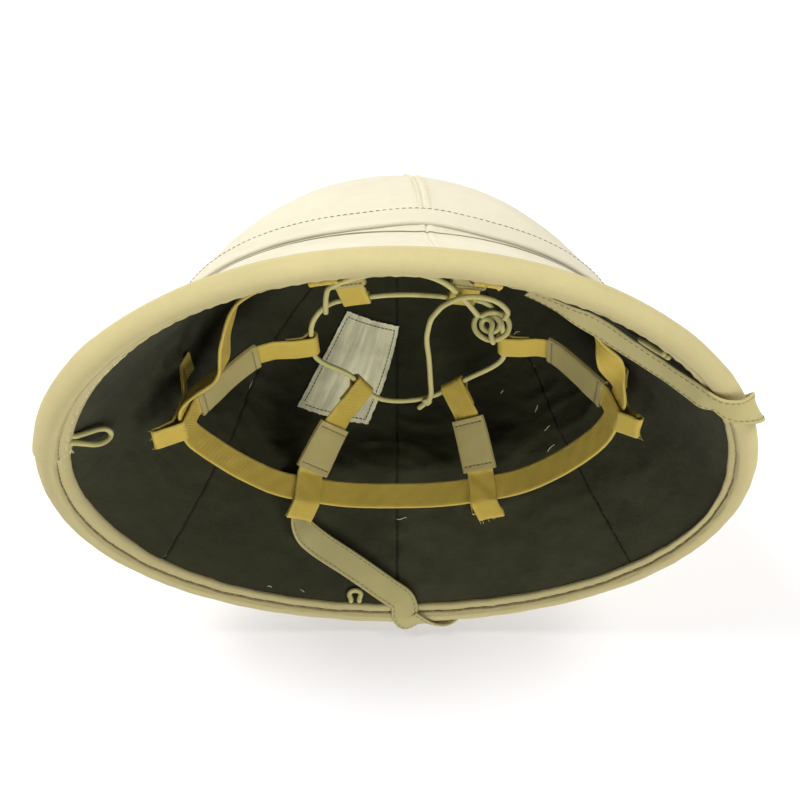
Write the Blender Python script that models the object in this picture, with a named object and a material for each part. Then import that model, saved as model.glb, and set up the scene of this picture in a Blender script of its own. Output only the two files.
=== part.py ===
"""A cloth-covered pith helmet lying on its side, with its lining, head harness and chin strap.

The helmet is modelled as it is worn, in millimetres: X runs along its length, +Z to the crown and
+Y to the side that ends up below. An empty then lays it on that side on the floor plane.
"""

import math

import bmesh
import bpy
import numpy as np
from mathutils import Vector

MM = 0.001
GAP = 0.3
COLUMNS = 36
UP = np.array((0.0, 0.0, 1.0))

# Brim and crown, over the cloth cover
HALF_LENGTH = 169.0
HALF_WIDTH = 145.8
RIM_HEIGHT = -0.9
SIDE_RISE = 7.6
FOOT_HEIGHT = 70.0
BRIM_HOLLOW = 1.5
BRIM_STEPS = (0.0, 0.12, 0.24, 0.5, 0.75, 1.0)

CROWN_HALF_LENGTH = 121.6
CROWN_HALF_WIDTH = 94.0
CROWN_BASE = 42.8
CROWN_RISE = 127.5
CROWN_POINTEDNESS = 1.6
CROWN_HEIGHTS = (70.6, 84.0, 99.0, 113.0, 125.0, 137.0, 148.0, 158.5, 166.5)
TOP_HEIGHT = CROWN_BASE + CROWN_RISE

# Wall, layer by layer
COVER_THICK = 1.0
PITH_THICK = 6.0
LINING_THICK = 1.0
PITH_TOP = COVER_THICK + GAP
PITH_BOTTOM = PITH_TOP + PITH_THICK
LINING_TOP = PITH_BOTTOM + GAP
WALL = LINING_TOP + LINING_THICK

# Band round the foot of the crown, with the small peak where its ends meet
BAND_LOW = 71.8
BAND_WIDTH = 15.5
BAND_THICK = 1.0
BAND_PEAK = 4.5
BAND_PEAK_ANGLE = 277.0
BAND_PEAK_SPREAD = 11.0

# Binding folded over the rim
BINDING_THICK = 1.0
BINDING_ROLL = 3.6
BINDING_OUTSIDE = 10.0
BINDING_INSIDE = 6.9
BINDING_WIDER = 5.0
BINDING_OUTER = -GAP - BINDING_THICK
BINDING_INNER = WALL + GAP + BINDING_THICK
BINDING_TURNS = (180.0, 144.0, 108.0, 72.0, 36.0, 0.0)

# Head harness
WEBBING_WIDTH = 13.7
WEBBING_THICK = 1.4
HEADBAND_THICK = 1.5
HEADBAND_FLARE = 18.0
TWIST_PLACE = (102.0, -30.0, 39.5)
TWIST = 55.0
TWIST_SPREAD = 11.0
SLEEVE_WIDTH = 18.0
SLEEVE_THICK = 0.8
SLEEVE_POINTS = 5
SLEEVE_CLEAR = 0.45
CORD_RADIUS = 1.35
RING_HEIGHT = 77.3
LOOP_RADIUS = CORD_RADIUS + GAP + 0.35 + 0.5 * WEBBING_THICK
FOLD_RADIUS = 1.0
SEAT_LENGTH = 7.0
SEAT_LIFT = GAP + 1.9

CHIN_WIDTH = 14.5
CHIN_THICK = 1.2
CHIN_LIFT = GAP + 0.5 * CHIN_THICK
CHIN_LEAVES = 84.4
CHIN_RETURNS = -22.5
CHIN_CLIMB = 0.42

LABEL_THICK = 0.8

# The crown sinks this far and is flattened where it rests
REST_SINK = 0.35

CLOTH = (0.62, 0.56, 0.42)
PITH = (0.72, 0.62, 0.44)
OLIVE = (0.045, 0.045, 0.028)
WEBBING = (0.56, 0.39, 0.10)
SLEEVE = (0.30, 0.26, 0.17)
CORD = (0.52, 0.52, 0.24)
PATCH = (0.80, 0.78, 0.64)
STRAP = (0.46, 0.40, 0.25)

ANGLES = [math.radians((column + 0.5) * 360.0 / COLUMNS) for column in range(COLUMNS)]

# Middle line of the headband, once round; the named points are where the straps cross it
HEADBAND = (
    # x, y, z, strap
    (107.0, -3.0, 34.0, "right"),
    (98.0, 26.0, 34.0, ""),
    (75.0, 52.0, 34.0, ""),
    (45.0, 66.5, 34.0, "lower_right"),
    (0.0, 73.0, 34.0, ""),
    (-46.5, 66.9, 34.0, "lower_left"),
    (-76.0, 50.0, 34.0, ""),
    (-97.0, 26.0, 34.0, ""),
    (-103.5, 5.0, 34.0, "left"),
    (-98.5, -13.0, 36.0, ""),
    (-84.0, -26.0, 39.0, ""),
    (-80.3, -49.0, 41.0, ""),
    (-70.5, -68.2, 51.5, ""),
    (-31.0, -79.4, 56.0, "upper_left"),
    (0.0, -82.0, 57.0, ""),
    (40.0, -78.5, 56.0, "upper_right"),
    (79.0, -63.5, 51.0, ""),
    (97.8, -41.8, 42.0, ""),
    (104.2, -24.0, 38.0, ""),
)

# Each strap: where it hangs on the drawcord (x, y), a bend on its way down, its folded end,
# its sleeve's distance above the headband and length, and the height of its seat
STRAPS = {
    # place: loop, bend, tab, sleeve, seat (its turn in degrees from the crossing, its height)
    "right": ((54.2, 0.0), (77.3, -2.0, 74.6), (116.0, -6.0, 19.5), (1.8, 39.0), (0.0, 54.0)),
    "lower_right": ((30.0, 34.7), (38.2, 43.9, 63.0), (49.0, 73.0, 21.0), (1.8, 28.0), (6.0, 40.0)),
    "lower_left": ((-18.4, 34.7), (-32.4, 43.4, 62.0), (-50.5, 74.0, 21.0), (1.8, 27.0), (0.0, 46.0)),
    "left": ((-42.6, 0.0), (-70.0, 1.3, 74.0), (-117.0, 4.0, 19.5), (1.8, 40.0), (0.0, 64.0)),
    "upper_left": ((-19.5, -34.7), (-26.0, -68.0, 68.5), (-33.0, -87.0, 40.5), (6.5, 17.0), (0.0, 46.0)),
    "upper_right": ((31.5, -34.7), (37.0, -68.0, 68.5), (41.5, -85.5, 40.5), (6.5, 17.0), (0.0, 46.0)),
}

KNOT_PLACE = (46.4, -21.3, 72.5)
KNOT_SIZE = (6.2, 5.6, 3.8)

# Cord between the big knot and the small one on the left, passing the upper side
STRAND = (
    (40.5, -28.5, 70.6),
    (33.0, -44.0, 67.8),
    (20.5, -64.0, 63.0),
    (4.0, -72.0, 61.0),
    (-15.0, -72.5, 58.5),
    (-29.5, -65.5, 58.5),
    (-33.5, -50.0, 66.5),
    (-34.8, -28.0, 73.3),
)

# Loose end of the drawcord, from the knot over the lower arc of the ring
TAIL = (
    (52.6, -26.6, 70.6),
    (54.0, -36.0, 67.8),
    (46.5, -47.9, 64.6),
    (34.0, -53.2, 62.2),
    (23.5, -45.2, 64.4),
    (18.5, -34.0, 67.5),
    (16.5, -25.0, 70.5),
    (15.0, -11.5, 71.0),
    (16.3, 5.0, 72.0),
    (17.4, 26.0, 73.2),
    (17.4, 40.0, 73.3),
    (11.2, 51.0, 74.5),
)

# Small cord loops sewn along the hem
CORD_LOOPS = {
    # place: angle round the brim, way up from the rim, tip, face, half width, half width of its foot
    "left": (190.0, 11.8, (-137.5, -4.5, 16.5), (0.55, -0.4, -0.7), 3.9, 1.7),
    "lower": (98.3, 7.8, (-22.6, 126.8, 8.9), (0.0, -0.85, -0.5), 3.2, 2.3),
    "upper_right": (319.3, 8.0, (109.8, -77.0, 15.8), (-0.55, 0.5, -0.67), 2.6, 1.6),
}

# Outline of a loop: which side, how far along its reach, share of its half width
LOOP_SHAPE = (
    (-1.0, 0.0, 1.0),
    (-1.0, 0.30, 0.72),
    (-1.0, 0.62, 1.0),
    (-1.0, 0.86, 0.80),
    (0.0, 1.0, 0.0),
    (1.0, 0.86, 0.80),
    (1.0, 0.62, 1.0),
    (1.0, 0.30, 0.72),
    (1.0, 0.0, 1.0),
)

# Inner stretches of the chin strap: middle line and the way its face looks
CHIN_LEFT = (
    # x, y, z, face
    (-51.9, 85.2, 35.0, (0.9, -0.35, -0.25)),
    (-51.1, 93.0, 28.6, (0.8, -0.5, -0.35)),
    (-43.5, 103.3, 25.2, (0.35, -0.72, -0.6)),
    (-25.6, 114.0, 17.8, (0.12, -0.73, -0.68)),
    (-4.2, 126.8, 8.2, (0.02, -0.72, -0.7)),
    (3.5, 131.0, 4.0, (-0.02, -0.71, -0.71)),
)
CHIN_RIGHT = (
    (136.7, -62.3, -5.3, (-0.62, 0.0, -0.78)),
    (132.4, -62.6, -1.1, (-0.57, 0.06, -0.82)),
    (126.6, -63.7, 3.5, (-0.55, 0.12, -0.83)),
    (119.2, -65.4, 9.0, (-0.52, 0.12, -0.84)),
    (110.0, -68.2, 14.6, (-0.48, 0.12, -0.87)),
    (101.1, -71.5, 19.4, (-0.45, 0.10, -0.89)),
    (92.0, -75.5, 24.0, (-0.41, 0.07, -0.91)),
    (84.6, -78.6, 26.8, (-0.34, 0.12, -0.93)),
    (76.2, -83.0, 28.6, (-0.34, 0.40, -0.90)),
    (66.7, -86.4, 32.0, (-0.40, 0.48, -0.86)),
    (58.9, -88.7, 34.0, (-0.36, 0.54, -0.85)),
)

# Label on the lining: angle round the crown and height at its corners
LABEL_LOW = ((121.9, 85.7), (98.7, 82.6))
LABEL_HIGH = ((114.8, 136.0), (89.0, 131.6))


def unit(vector):
    return vector / np.linalg.norm(vector)


def rim_edge(angle):
    """Lower edge of the cover at an angle round the brim."""
    return np.array((
        HALF_LENGTH * math.cos(angle),
        HALF_WIDTH * math.sin(angle),
        RIM_HEIGHT + SIDE_RISE * math.sin(angle) ** 2,
    ))


def crown_point(angle, height):
    """Point on the crown's cover, an ellipse that closes in towards the top."""
    rise = min((height - CROWN_BASE) / CROWN_RISE, 1.0)
    width = math.sqrt(1.0 - rise ** CROWN_POINTEDNESS)
    return np.array((
        CROWN_HALF_LENGTH * width * math.cos(angle),
        CROWN_HALF_WIDTH * width * math.sin(angle),
        height,
    ))


def brim_point(angle, share):
    """Point on the brim's cover, from the rim (0) to the foot of the crown (1)."""
    low = rim_edge(angle)
    high = crown_point(angle, FOOT_HEIGHT)
    hollow = 4.0 * BRIM_HOLLOW * share * (1.0 - share)
    inward = np.array((-math.cos(angle), -math.sin(angle), -1.0)) / math.sqrt(2.0)
    return low + (high - low) * share + inward * hollow


def surface_normal(point_at, angle, along):
    """Outward normal of a surface given as point_at(angle, along)."""
    turn = point_at(angle + 0.01, along) - point_at(angle - 0.01, along)
    climb = point_at(angle, along + 0.002) - point_at(angle, along - 0.002)
    return unit(np.cross(turn, climb))


def brim_normal(angle, share):
    return surface_normal(brim_point, angle, min(max(share, 0.01), 0.99))


def crown_normal(angle, height):
    return surface_normal(crown_point, angle, height)


def brim_layer(angle, share, depth):
    """Point a given depth under the brim's cover."""
    return brim_point(angle, share) - brim_normal(angle, share) * depth


def crown_layer(angle, height, depth):
    """Point a given depth under the crown's cover."""
    return crown_point(angle, height) - crown_normal(angle, height) * depth


def foot_layer(angle, depth):
    """Point under the corner between brim and crown, on the line that halves the corner."""
    crown = crown_normal(angle, FOOT_HEIGHT)
    middle = unit(brim_normal(angle, 1.0) + crown)
    return crown_point(angle, FOOT_HEIGHT) - middle * depth / float(middle @ crown)


def layer_rings(depth, brim_steps, crown_heights):
    """Rings of a layer from low to high, each a list of points round the helmet."""
    rings = []
    for share in brim_steps:
        if share == 1.0:
            rings.append([foot_layer(angle, depth) for angle in ANGLES])
        else:
            rings.append([brim_layer(angle, share, depth) for angle in ANGLES])
    for height in crown_heights:
        rings.append([crown_layer(angle, height, depth) for angle in ANGLES])
    return rings


def lining_point(angle, height, lift=0.0):
    """Point at a height on the lining's face, lifted off it towards the head."""
    if height > foot_layer(angle, WALL)[2]:
        layer, low, high = crown_layer, FOOT_HEIGHT, TOP_HEIGHT - 1.0
    else:
        layer, low, high = brim_layer, 0.0, 1.0
    for _ in range(30):
        middle = 0.5 * (low + high)
        if layer(angle, middle, WALL)[2] < height:
            low = middle
        else:
            high = middle
    return layer(angle, low, WALL + lift)


def smooth_curve(points, per_span, closed=False, straight=()):
    """Points along a smooth curve through the given ones.

    The spans that start at an index in straight stay straight.
    """
    knots = [np.array(point, float) for point in points]
    count = len(knots)
    ways = []
    for index in range(count):
        before, after = index - 1, index + 1
        if index in straight or (index == 0 and not closed):
            before = index
        elif index - 1 in straight or (after == count and not closed):
            after = index
        ways.append(unit(knots[after % count] - knots[before]))
    path = []
    for index in range(count if closed else count - 1):
        after = (index + 1) % count
        reach = float(np.linalg.norm(knots[after] - knots[index]))
        for step in range(1 if index in straight else per_span):
            share = step / per_span
            square = share * share
            cube = square * share
            path.append(
                knots[index] * (2.0 * cube - 3.0 * square + 1.0)
                + ways[index] * reach * (cube - 2.0 * square + share)
                + knots[after] * (3.0 * square - 2.0 * cube)
                + ways[after] * reach * (cube - square)
            )
    if not closed:
        path.append(knots[-1])
    return path


def point_along(path, distance):
    """Point at a distance from the start of a path of straight pieces."""
    for start, end in zip(path, path[1:]):
        length = float(np.linalg.norm(end - start))
        if distance <= length:
            return start + (end - start) * distance / length
        distance -= length
    return path[-1]


def path_length(path):
    return sum(float(np.linalg.norm(end - start)) for start, end in zip(path, path[1:]))


def direction_at(path, index, closed=False):
    """Direction of travel at one point of a path."""
    if closed:
        return unit(path[(index + 1) % len(path)] - path[index - 1])
    return unit(path[min(index + 1, len(path) - 1)] - path[max(index - 1, 0)])


def material(name, colour, roughness):
    """A matt Principled material."""
    made = bpy.data.materials.new(name)
    made.use_nodes = True
    shader = made.node_tree.nodes["Principled BSDF"]
    shader.inputs["Base Color"].default_value = (*colour, 1.0)
    shader.inputs["Roughness"].default_value = roughness
    shader.inputs["Metallic"].default_value = 0.0
    return made


def add_object(name, data, look):
    """Link an object, give it its look and lay it down with the helmet."""
    data.materials.append(look)
    made = bpy.data.objects.new(name, data)
    bpy.context.collection.objects.link(made)
    made.parent = bpy.data.objects["lying_pose"]
    return made


def mesh_object(name, work, look):
    """Finish a bmesh as a smooth-shaded object with its faces pointing out."""
    bmesh.ops.recalc_face_normals(work, faces=work.faces)
    if work.calc_volume(signed=True) < 0.0:
        bmesh.ops.reverse_faces(work, faces=work.faces)
    mesh = bpy.data.meshes.new(name)
    work.to_mesh(mesh)
    work.free()
    mesh.shade_smooth()
    mesh.set_sharp_from_angle(angle=math.radians(40.0))
    return add_object(name, mesh, look)


def add_ring(work, points):
    return [work.verts.new(Vector(point) * MM) for point in points]


def bridge(work, first, second):
    """Quads between two closed rows of vertices of the same length."""
    count = len(first)
    for index in range(count):
        after = (index + 1) % count
        work.faces.new((first[index], first[after], second[after], second[index]))


def cap_top(work, ring, top):
    """Fan of triangles from a ring to its top vertex."""
    for index, vertex in enumerate(ring):
        work.faces.new((vertex, ring[(index + 1) % len(ring)], top))


def binding_section(angle):
    """U-shaped section of the binding, with a roll under the wall's edge."""
    slant = brim_slant(angle)
    inside = (BINDING_INSIDE + BINDING_WIDER * max(0.0, -math.cos(angle)) ** 3) / slant
    outside = BINDING_OUTSIDE / slant
    edge, across, down = rim_axes(angle)
    section = [brim_layer(angle, outside, BINDING_OUTER)]
    section += [rim_roll(angle, turn, 0.0) for turn in BINDING_TURNS]
    section += [
        brim_layer(angle, 0.5 * inside, BINDING_INNER),
        brim_layer(angle, inside, BINDING_INNER),
        brim_layer(angle, inside, WALL + GAP),
        edge + across * (WALL + GAP) + down * GAP,
        edge - across * GAP + down * GAP,
        brim_layer(angle, outside, -GAP),
    ]
    return section


def rim_axes(angle):
    """Lower edge of the cover, the way through the wall from it, and the way out below."""
    down = unit(brim_point(angle, 0.0) - brim_point(angle, 0.1))
    return brim_point(angle, 0.0), -brim_normal(angle, 0.0), down


def rim_roll(angle, turn, lift):
    """Point on the rolled rim, from its outside (180) through below (90) to its inside (0)."""
    edge, across, down = rim_axes(angle)
    middle = 0.5 * (BINDING_OUTER + BINDING_INNER)
    reach = 0.5 * (BINDING_INNER - BINDING_OUTER) + lift
    swing = math.radians(turn)
    return (
        edge
        + across * (middle + reach * math.cos(swing))
        + down * (BINDING_ROLL + lift) * math.sin(swing)
    )


def rest_plane():
    """The floor in the worn helmet's frame: its downward normal and its distance.

    It passes under the chin strap, where that passes under the rim, and touches the crown.
    """
    rim = [rim_roll(angle, turn, 0.0) for angle in ANGLES for turn in BINDING_TURNS]
    crown = [crown_point(angle, height) for angle in ANGLES for height in CROWN_HEIGHTS]
    low, high = 0.0, math.radians(60.0)
    for _ in range(50):
        tilt = 0.5 * (low + high)
        normal = np.array((0.0, math.cos(tilt), math.sin(tilt)))
        at_rim = max(float(point @ normal) for point in rim) + GAP + CHIN_THICK
        at_crown = max(float(point @ normal) for point in crown) - REST_SINK
        if at_rim > at_crown:
            low = tilt
        else:
            high = tilt
    return normal, at_rim


def flatten_on_floor(work, floor):
    """Press what would reach through the floor flat against it."""
    normal, distance = floor
    for vertex in work.verts:
        below = float(np.array(vertex.co) @ normal) - distance * MM
        if below > 0.0:
            vertex.co -= Vector(normal) * below


def dome(name, depths, brim_steps, crown_heights, look, floor=None):
    """A closed shell between two depths, open below and closed over the top."""
    work = bmesh.new()
    skins = []
    for depth in depths:
        rings = [add_ring(work, ring) for ring in layer_rings(depth, brim_steps, crown_heights)]
        for low, high in zip(rings, rings[1:]):
            bridge(work, low, high)
        top = work.verts.new(Vector((0.0, 0.0, TOP_HEIGHT - depth)) * MM)
        cap_top(work, rings[-1], top)
        skins.append(rings)
    bridge(work, skins[0][0], skins[1][0])
    if floor:
        flatten_on_floor(work, floor)
    return mesh_object(name, work, look)


def hoop(name, sections, look):
    """A closed hoop through one closed cross-section for each angle round the helmet."""
    work = bmesh.new()
    rows = [add_ring(work, section) for section in sections]
    for index, row in enumerate(rows):
        bridge(work, row, rows[(index + 1) % len(rows)])
    return mesh_object(name, work, look)


def build_walls(looks, floor):
    """Pith body with its cover and lining."""
    heights = CROWN_HEIGHTS[1:]
    dome("pith_shell", (PITH_TOP, PITH_BOTTOM), BRIM_STEPS, heights, looks["pith"])
    dome("lining", (LINING_TOP, WALL), BRIM_STEPS, heights, looks["olive"])
    dome("crown_cover", (0.0, COVER_THICK), (), CROWN_HEIGHTS, looks["cloth"], floor)
    outer = layer_rings(0.0, BRIM_STEPS, ())
    inner = layer_rings(COVER_THICK, BRIM_STEPS, ())
    sections = []
    for column in range(COLUMNS):
        sections.append([ring[column] for ring in outer] + [ring[column] for ring in inner[::-1]])
    hoop("brim_cover", sections, looks["cloth"])


def build_band(look):
    """Flat cloth band round the foot of the crown."""
    sections = []
    for angle in ANGLES:
        off = (math.degrees(angle) - BAND_PEAK_ANGLE) / BAND_PEAK_SPREAD
        low = BAND_LOW + BAND_PEAK * math.exp(-off * off)
        heights = (low, low + 0.5 * BAND_WIDTH, low + BAND_WIDTH)
        outer = [crown_layer(angle, height, -GAP - BAND_THICK) for height in heights]
        inner = [crown_layer(angle, height, -GAP) for height in heights]
        sections.append(outer + inner[::-1])
    hoop("hat_band", sections, look)


def build_binding(look):
    hoop("edge_binding", [binding_section(angle) for angle in ANGLES], look)


def flat_section(point, side, face, width, thick):
    """Corners of a flat strip's cross-section."""
    corners = ((-0.5, -0.5), (0.5, -0.5), (0.5, 0.5), (-0.5, 0.5))
    return [point + side * across * width + face * out * thick for across, out in corners]


def strip_frames(path, sides, closed=False):
    """Each point of a flat strip with the directions across its width and out of its face."""
    frames = []
    for index, (point, side) in enumerate(zip(path, sides)):
        ahead = direction_at(path, index, closed)
        side = unit(side - ahead * float(side @ ahead))
        frames.append((point, side, np.cross(ahead, side)))
    return frames


def strip(name, frames, width, thick, look, closed=False, floor=None):
    """A flat strip of webbing or cloth through its frames."""
    work = bmesh.new()
    rows = [add_ring(work, flat_section(*frame, width, thick)) for frame in frames]
    for low, high in zip(rows, rows[1:]):
        bridge(work, low, high)
    if closed:
        bridge(work, rows[-1], rows[0])
    else:
        work.faces.new(rows[0])
        work.faces.new(rows[-1])
    if floor:
        flatten_on_floor(work, floor)
    return mesh_object(name, work, look)


def cord(name, path, look, closed=False):
    """A round cord along a path, its ends capped."""
    curve = bpy.data.curves.new(name, "CURVE")
    curve.dimensions = "3D"
    curve.bevel_depth = CORD_RADIUS * MM
    curve.bevel_resolution = 2
    curve.use_fill_caps = not closed
    spline = curve.splines.new("POLY")
    spline.points.add(len(path) - 1)
    for point, place in zip(spline.points, path):
        point.co = (*(Vector(place) * MM), 1.0)
    spline.use_cyclic_u = closed
    return add_object(name, curve, look)


def headband_frame(index):
    """Middle, outward face and downward edge direction of the headband at one of its points."""
    places = [np.array(row[:3]) for row in HEADBAND]
    ahead = unit(places[(index + 1) % len(places)] - places[index - 1])
    outward = unit(np.cross(ahead, UP))
    flare = math.radians(HEADBAND_FLARE)
    face = outward * math.cos(flare) + UP * math.sin(flare)
    edge = outward * math.sin(flare) - UP * math.cos(flare)
    return places[index], face, edge


def build_headband(look):
    """Webbing hoop round the head, flaring a little downwards and twisted flat at one place."""
    knots = []
    straight = []
    for index, row in enumerate(HEADBAND):
        middle, face, edge = headband_frame(index)
        if row[3]:
            half = 0.5 * SLEEVE_WIDTH * unit(np.cross(face, edge))
            straight.append(len(knots))
            knots += [middle - half, middle + half]
        else:
            knots.append(middle)
    path = smooth_curve(knots, 3, True, straight)
    sides = []
    for index in range(len(path)):
        outward = unit(np.cross(direction_at(path, index, True), UP))
        away = float(np.linalg.norm(path[index] - np.array(TWIST_PLACE))) / TWIST_SPREAD
        flare = math.radians(HEADBAND_FLARE + TWIST * math.exp(-away * away))
        sides.append(outward * math.sin(flare) - UP * math.cos(flare))
    frames = strip_frames(path, sides, True)
    strip("headband", frames, WEBBING_WIDTH, HEADBAND_THICK, look, closed=True)


def strap_plane(place):
    """Where a strap hangs on the drawcord: the cord's middle, the strap's way, up and across."""
    loop_place, bend = STRAPS[place][:2]
    loop = np.array((*loop_place, RING_HEIGHT))
    if bend:
        target = np.array(bend)
    else:
        index = [row[3] for row in HEADBAND].index(place)
        middle, face, edge = headband_frame(index)
        target = middle - face * 2.0 - edge * 0.5 * WEBBING_WIDTH
    away = unit(target - loop)
    across = unit(np.cross(away, UP))
    return loop, away, np.cross(across, away), across


def lining_across(angle, height):
    """Direction round the lining at one of its points."""
    return unit(lining_point(angle + 0.02, height) - lining_point(angle - 0.02, height))


def top_loop(place):
    """Points of a strap's end round the drawcord, up to where it leaves for the headband."""
    loop, away, up, _ = strap_plane(place)
    path = []
    for along in (13.0, 8.0):
        path.append(loop + away * along + up * (WEBBING_THICK + GAP - LOOP_RADIUS))
    for turn in (70.0, 110.0, 150.0, 190.0, 230.0, 270.0):
        swing = math.radians(turn)
        path.append(loop + (away * math.cos(swing) + up * math.sin(swing)) * LOOP_RADIUS)
    path.append(loop + away * 9.0 - up * LOOP_RADIUS)
    return path


def folded_end(place, inside, across, below):
    """Points of a strap below the headband: its fold, and the way up to its seat."""
    index = [row[3] for row in HEADBAND].index(place)
    middle, face, edge = headband_frame(index)
    tab = np.array(STRAPS[place][2])
    way = unit(tab - below)
    out = unit(np.cross(way, across))
    if float(out @ face) < 0.0:
        out = -out
    path = [tab]
    for turn in (60.0, 120.0):
        swing = math.radians(turn)
        path.append(tab + (way * math.sin(swing) + out * (1.0 - math.cos(swing))) * FOLD_RADIUS)
    path.append(tab + out * 2.0 * FOLD_RADIUS - way * 2.0)
    if STRAPS[place][4][1] < middle[2] + 0.5 * WEBBING_WIDTH:
        return path
    outside = middle + middle - inside + face * 0.9
    path.append(outside + edge * (0.5 * WEBBING_WIDTH + 1.0))
    path.append(outside - edge * 0.5 * WEBBING_WIDTH)
    return path


def build_strap(place, looks):
    """One strap and its sleeve.

    The strap loops round the drawcord, runs down through the sleeve and inside the headband,
    folds at its lower end and climbs outside the headband to its seat on the lining.
    """
    _, _, up, across = strap_plane(place)
    _, bend, _, (gap, sleeve_length), (seat_turn, seat_height) = STRAPS[place]
    index = [row[3] for row in HEADBAND].index(place)
    middle, face, edge = headband_frame(index)
    along_band = unit(np.cross(edge, face))
    if float(along_band @ across) < 0.0:
        along_band = -along_band
    inside = middle - face * (0.5 * (HEADBAND_THICK + WEBBING_THICK) + GAP + 0.6)
    above = inside - edge * (0.5 * WEBBING_WIDTH + 0.8)
    below = inside + edge * (0.5 * WEBBING_WIDTH + 0.8)

    path = top_loop(place)
    sides = [across] * len(path)
    body = [path[-1], above]
    if bend:
        body = smooth_curve([path[-1], np.array(bend) - up * LOOP_RADIUS, above], 6)
    down = body[::-1]
    if bend:
        path.append(point_along(down, 0.5 * (path_length(down) + sleeve_length)))
        sides.append(across)
    sleeve = len(path)
    for share in np.linspace(1.0, 0.0, SLEEVE_POINTS):
        path.append(point_along(down, gap + sleeve_length * share))
        sides.append(across * 0.6 * share + along_band * (1.0 - 0.6 * share))
    path += [above, below]
    path += folded_end(place, inside, along_band, below)
    sides += [along_band] * (len(path) - len(sides))

    angle = math.atan2(middle[1] / CROWN_HALF_WIDTH, middle[0] / CROWN_HALF_LENGTH) + math.radians(seat_turn)
    for height in (seat_height, seat_height + SEAT_LENGTH):
        path.append(lining_point(angle, height, SEAT_LIFT + 0.5 * WEBBING_THICK))
        seat_side = lining_across(angle, height)
        sides.append(seat_side if float(seat_side @ across) > 0.0 else -seat_side)
    frames = strip_frames(path, sides)
    strip("strap_" + place, frames, WEBBING_WIDTH, WEBBING_THICK, looks["webbing"])
    build_sleeve(place, frames[sleeve:sleeve + SLEEVE_POINTS], looks["sleeve"])


def build_sleeve(place, frames, look):
    """Flat cloth tube round a strap, open at both ends."""
    work = bmesh.new()
    hollow = (SLEEVE_WIDTH - 2.0 * SLEEVE_THICK, WEBBING_THICK + 2.0 * SLEEVE_CLEAR)
    full = (SLEEVE_WIDTH, hollow[1] + 2.0 * SLEEVE_THICK)
    outer = [add_ring(work, flat_section(*frame, *full)) for frame in frames]
    inner = [add_ring(work, flat_section(*frame, *hollow)) for frame in frames]
    for rows in (outer, inner):
        for low, high in zip(rows, rows[1:]):
            bridge(work, low, high)
    bridge(work, outer[0], inner[0])
    bridge(work, outer[-1], inner[-1])
    mesh_object("sleeve_" + place, work, look)


def build_drawcord(look):
    """Ring of cord through the straps' loops, its knots, its second strand and its loose end."""
    knots = []
    straight = []
    for place in STRAPS:
        loop, _, _, across = strap_plane(place)
        level = unit(np.array((across[0], across[1], 0.0)))
        round_way = np.array((-loop[1], loop[0], 0.0))
        if float(level @ round_way) < 0.0:
            level = -level
        straight.append(len(knots))
        knots += [loop - level * 0.55 * WEBBING_WIDTH, loop + level * 0.55 * WEBBING_WIDTH]
    cord("drawcord", smooth_curve(knots, 6, True, straight), look, closed=True)
    cord("drawcord_strand", smooth_curve(STRAND, 4), look)
    cord("drawcord_tail", smooth_curve(TAIL, 3), look)
    work = bmesh.new()
    bmesh.ops.create_icosphere(work, subdivisions=2, radius=MM)
    bmesh.ops.scale(work, vec=KNOT_SIZE, verts=work.verts)
    bmesh.ops.translate(work, vec=Vector(KNOT_PLACE) * MM, verts=work.verts)
    mesh_object("drawcord_knot", work, look)


def brim_slant(angle):
    """Length up the brim's cover, from the rim to the foot of the crown."""
    return float(np.linalg.norm(brim_point(angle, 1.0) - brim_point(angle, 0.0)))


def build_cord_loops(look):
    """Small loops of cord sewn to the hem."""
    for place, (degrees, climb, tip, face, half_width, foot_width) in CORD_LOOPS.items():
        angle = math.radians(degrees)
        foot = brim_layer(angle, climb / brim_slant(angle), BINDING_INNER + GAP + CORD_RADIUS)
        reach = np.array(tip) - foot
        side = unit(np.cross(np.array(face), reach))
        route = []
        for turn, along, wide in LOOP_SHAPE:
            width = foot_width if along == 0.0 else half_width * wide
            route.append(foot + reach * along + side * turn * width)
        cord("cord_loop_" + place, smooth_curve(route, 2), look)


def chin_route():
    """Middle line of the chin strap and the way its face looks, from end to end."""
    points = [row[:3] for row in CHIN_LEFT]
    faces = [row[3] for row in CHIN_LEFT]
    leaves = math.radians(CHIN_LEAVES)
    returns = math.radians(CHIN_RETURNS)

    def over_rim(angle, turns, slide, lift):
        edge, across, down = rim_axes(angle)
        for turn in turns:
            swing = math.radians(turn)
            at = angle + math.radians(slide * (90.0 - turn) / 90.0)
            points.append(rim_roll(at, turn, lift))
            faces.append(across * math.cos(swing) + down * math.sin(swing))

    over_rim(leaves, (10.0, 35.0, 60.0, 90.0, 120.0, 145.0, 170.0), 4.5, CHIN_LIFT + 0.4)
    for step in (0.06, 0.12, 0.22, 0.35, 0.5, 0.65, 0.78, 0.88, 0.94):
        angle = leaves + (returns - leaves) * step
        share = CHIN_CLIMB * math.sin(math.pi * step)
        near_rim = max(0.0, 1.0 - share / 0.2)
        lift = CHIN_LIFT + 1.0 - BINDING_OUTER * min(1.0, near_rim * 2.0)
        points.append(brim_layer(angle, share, -lift))
        faces.append(brim_normal(angle, share))
    over_rim(returns, (170.0, 120.0, 60.0, 10.0), -5.0, CHIN_LIFT + 2.0)
    points += [row[:3] for row in CHIN_RIGHT]
    faces += [row[3] for row in CHIN_RIGHT]
    return points, faces


def build_chin_strap(look, floor):
    """Chin strap from the lining, under the rim, round outside the brim and back to the lining."""
    points, faces = chin_route()
    path = smooth_curve(points, 2)
    looks_to = smooth_curve(faces, 2)
    sides = []
    for index, face in enumerate(looks_to):
        sides.append(unit(np.cross(direction_at(path, index), face)))
    strip("chin_strap", strip_frames(path, sides), CHIN_WIDTH, CHIN_THICK, look, floor=floor)


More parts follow.
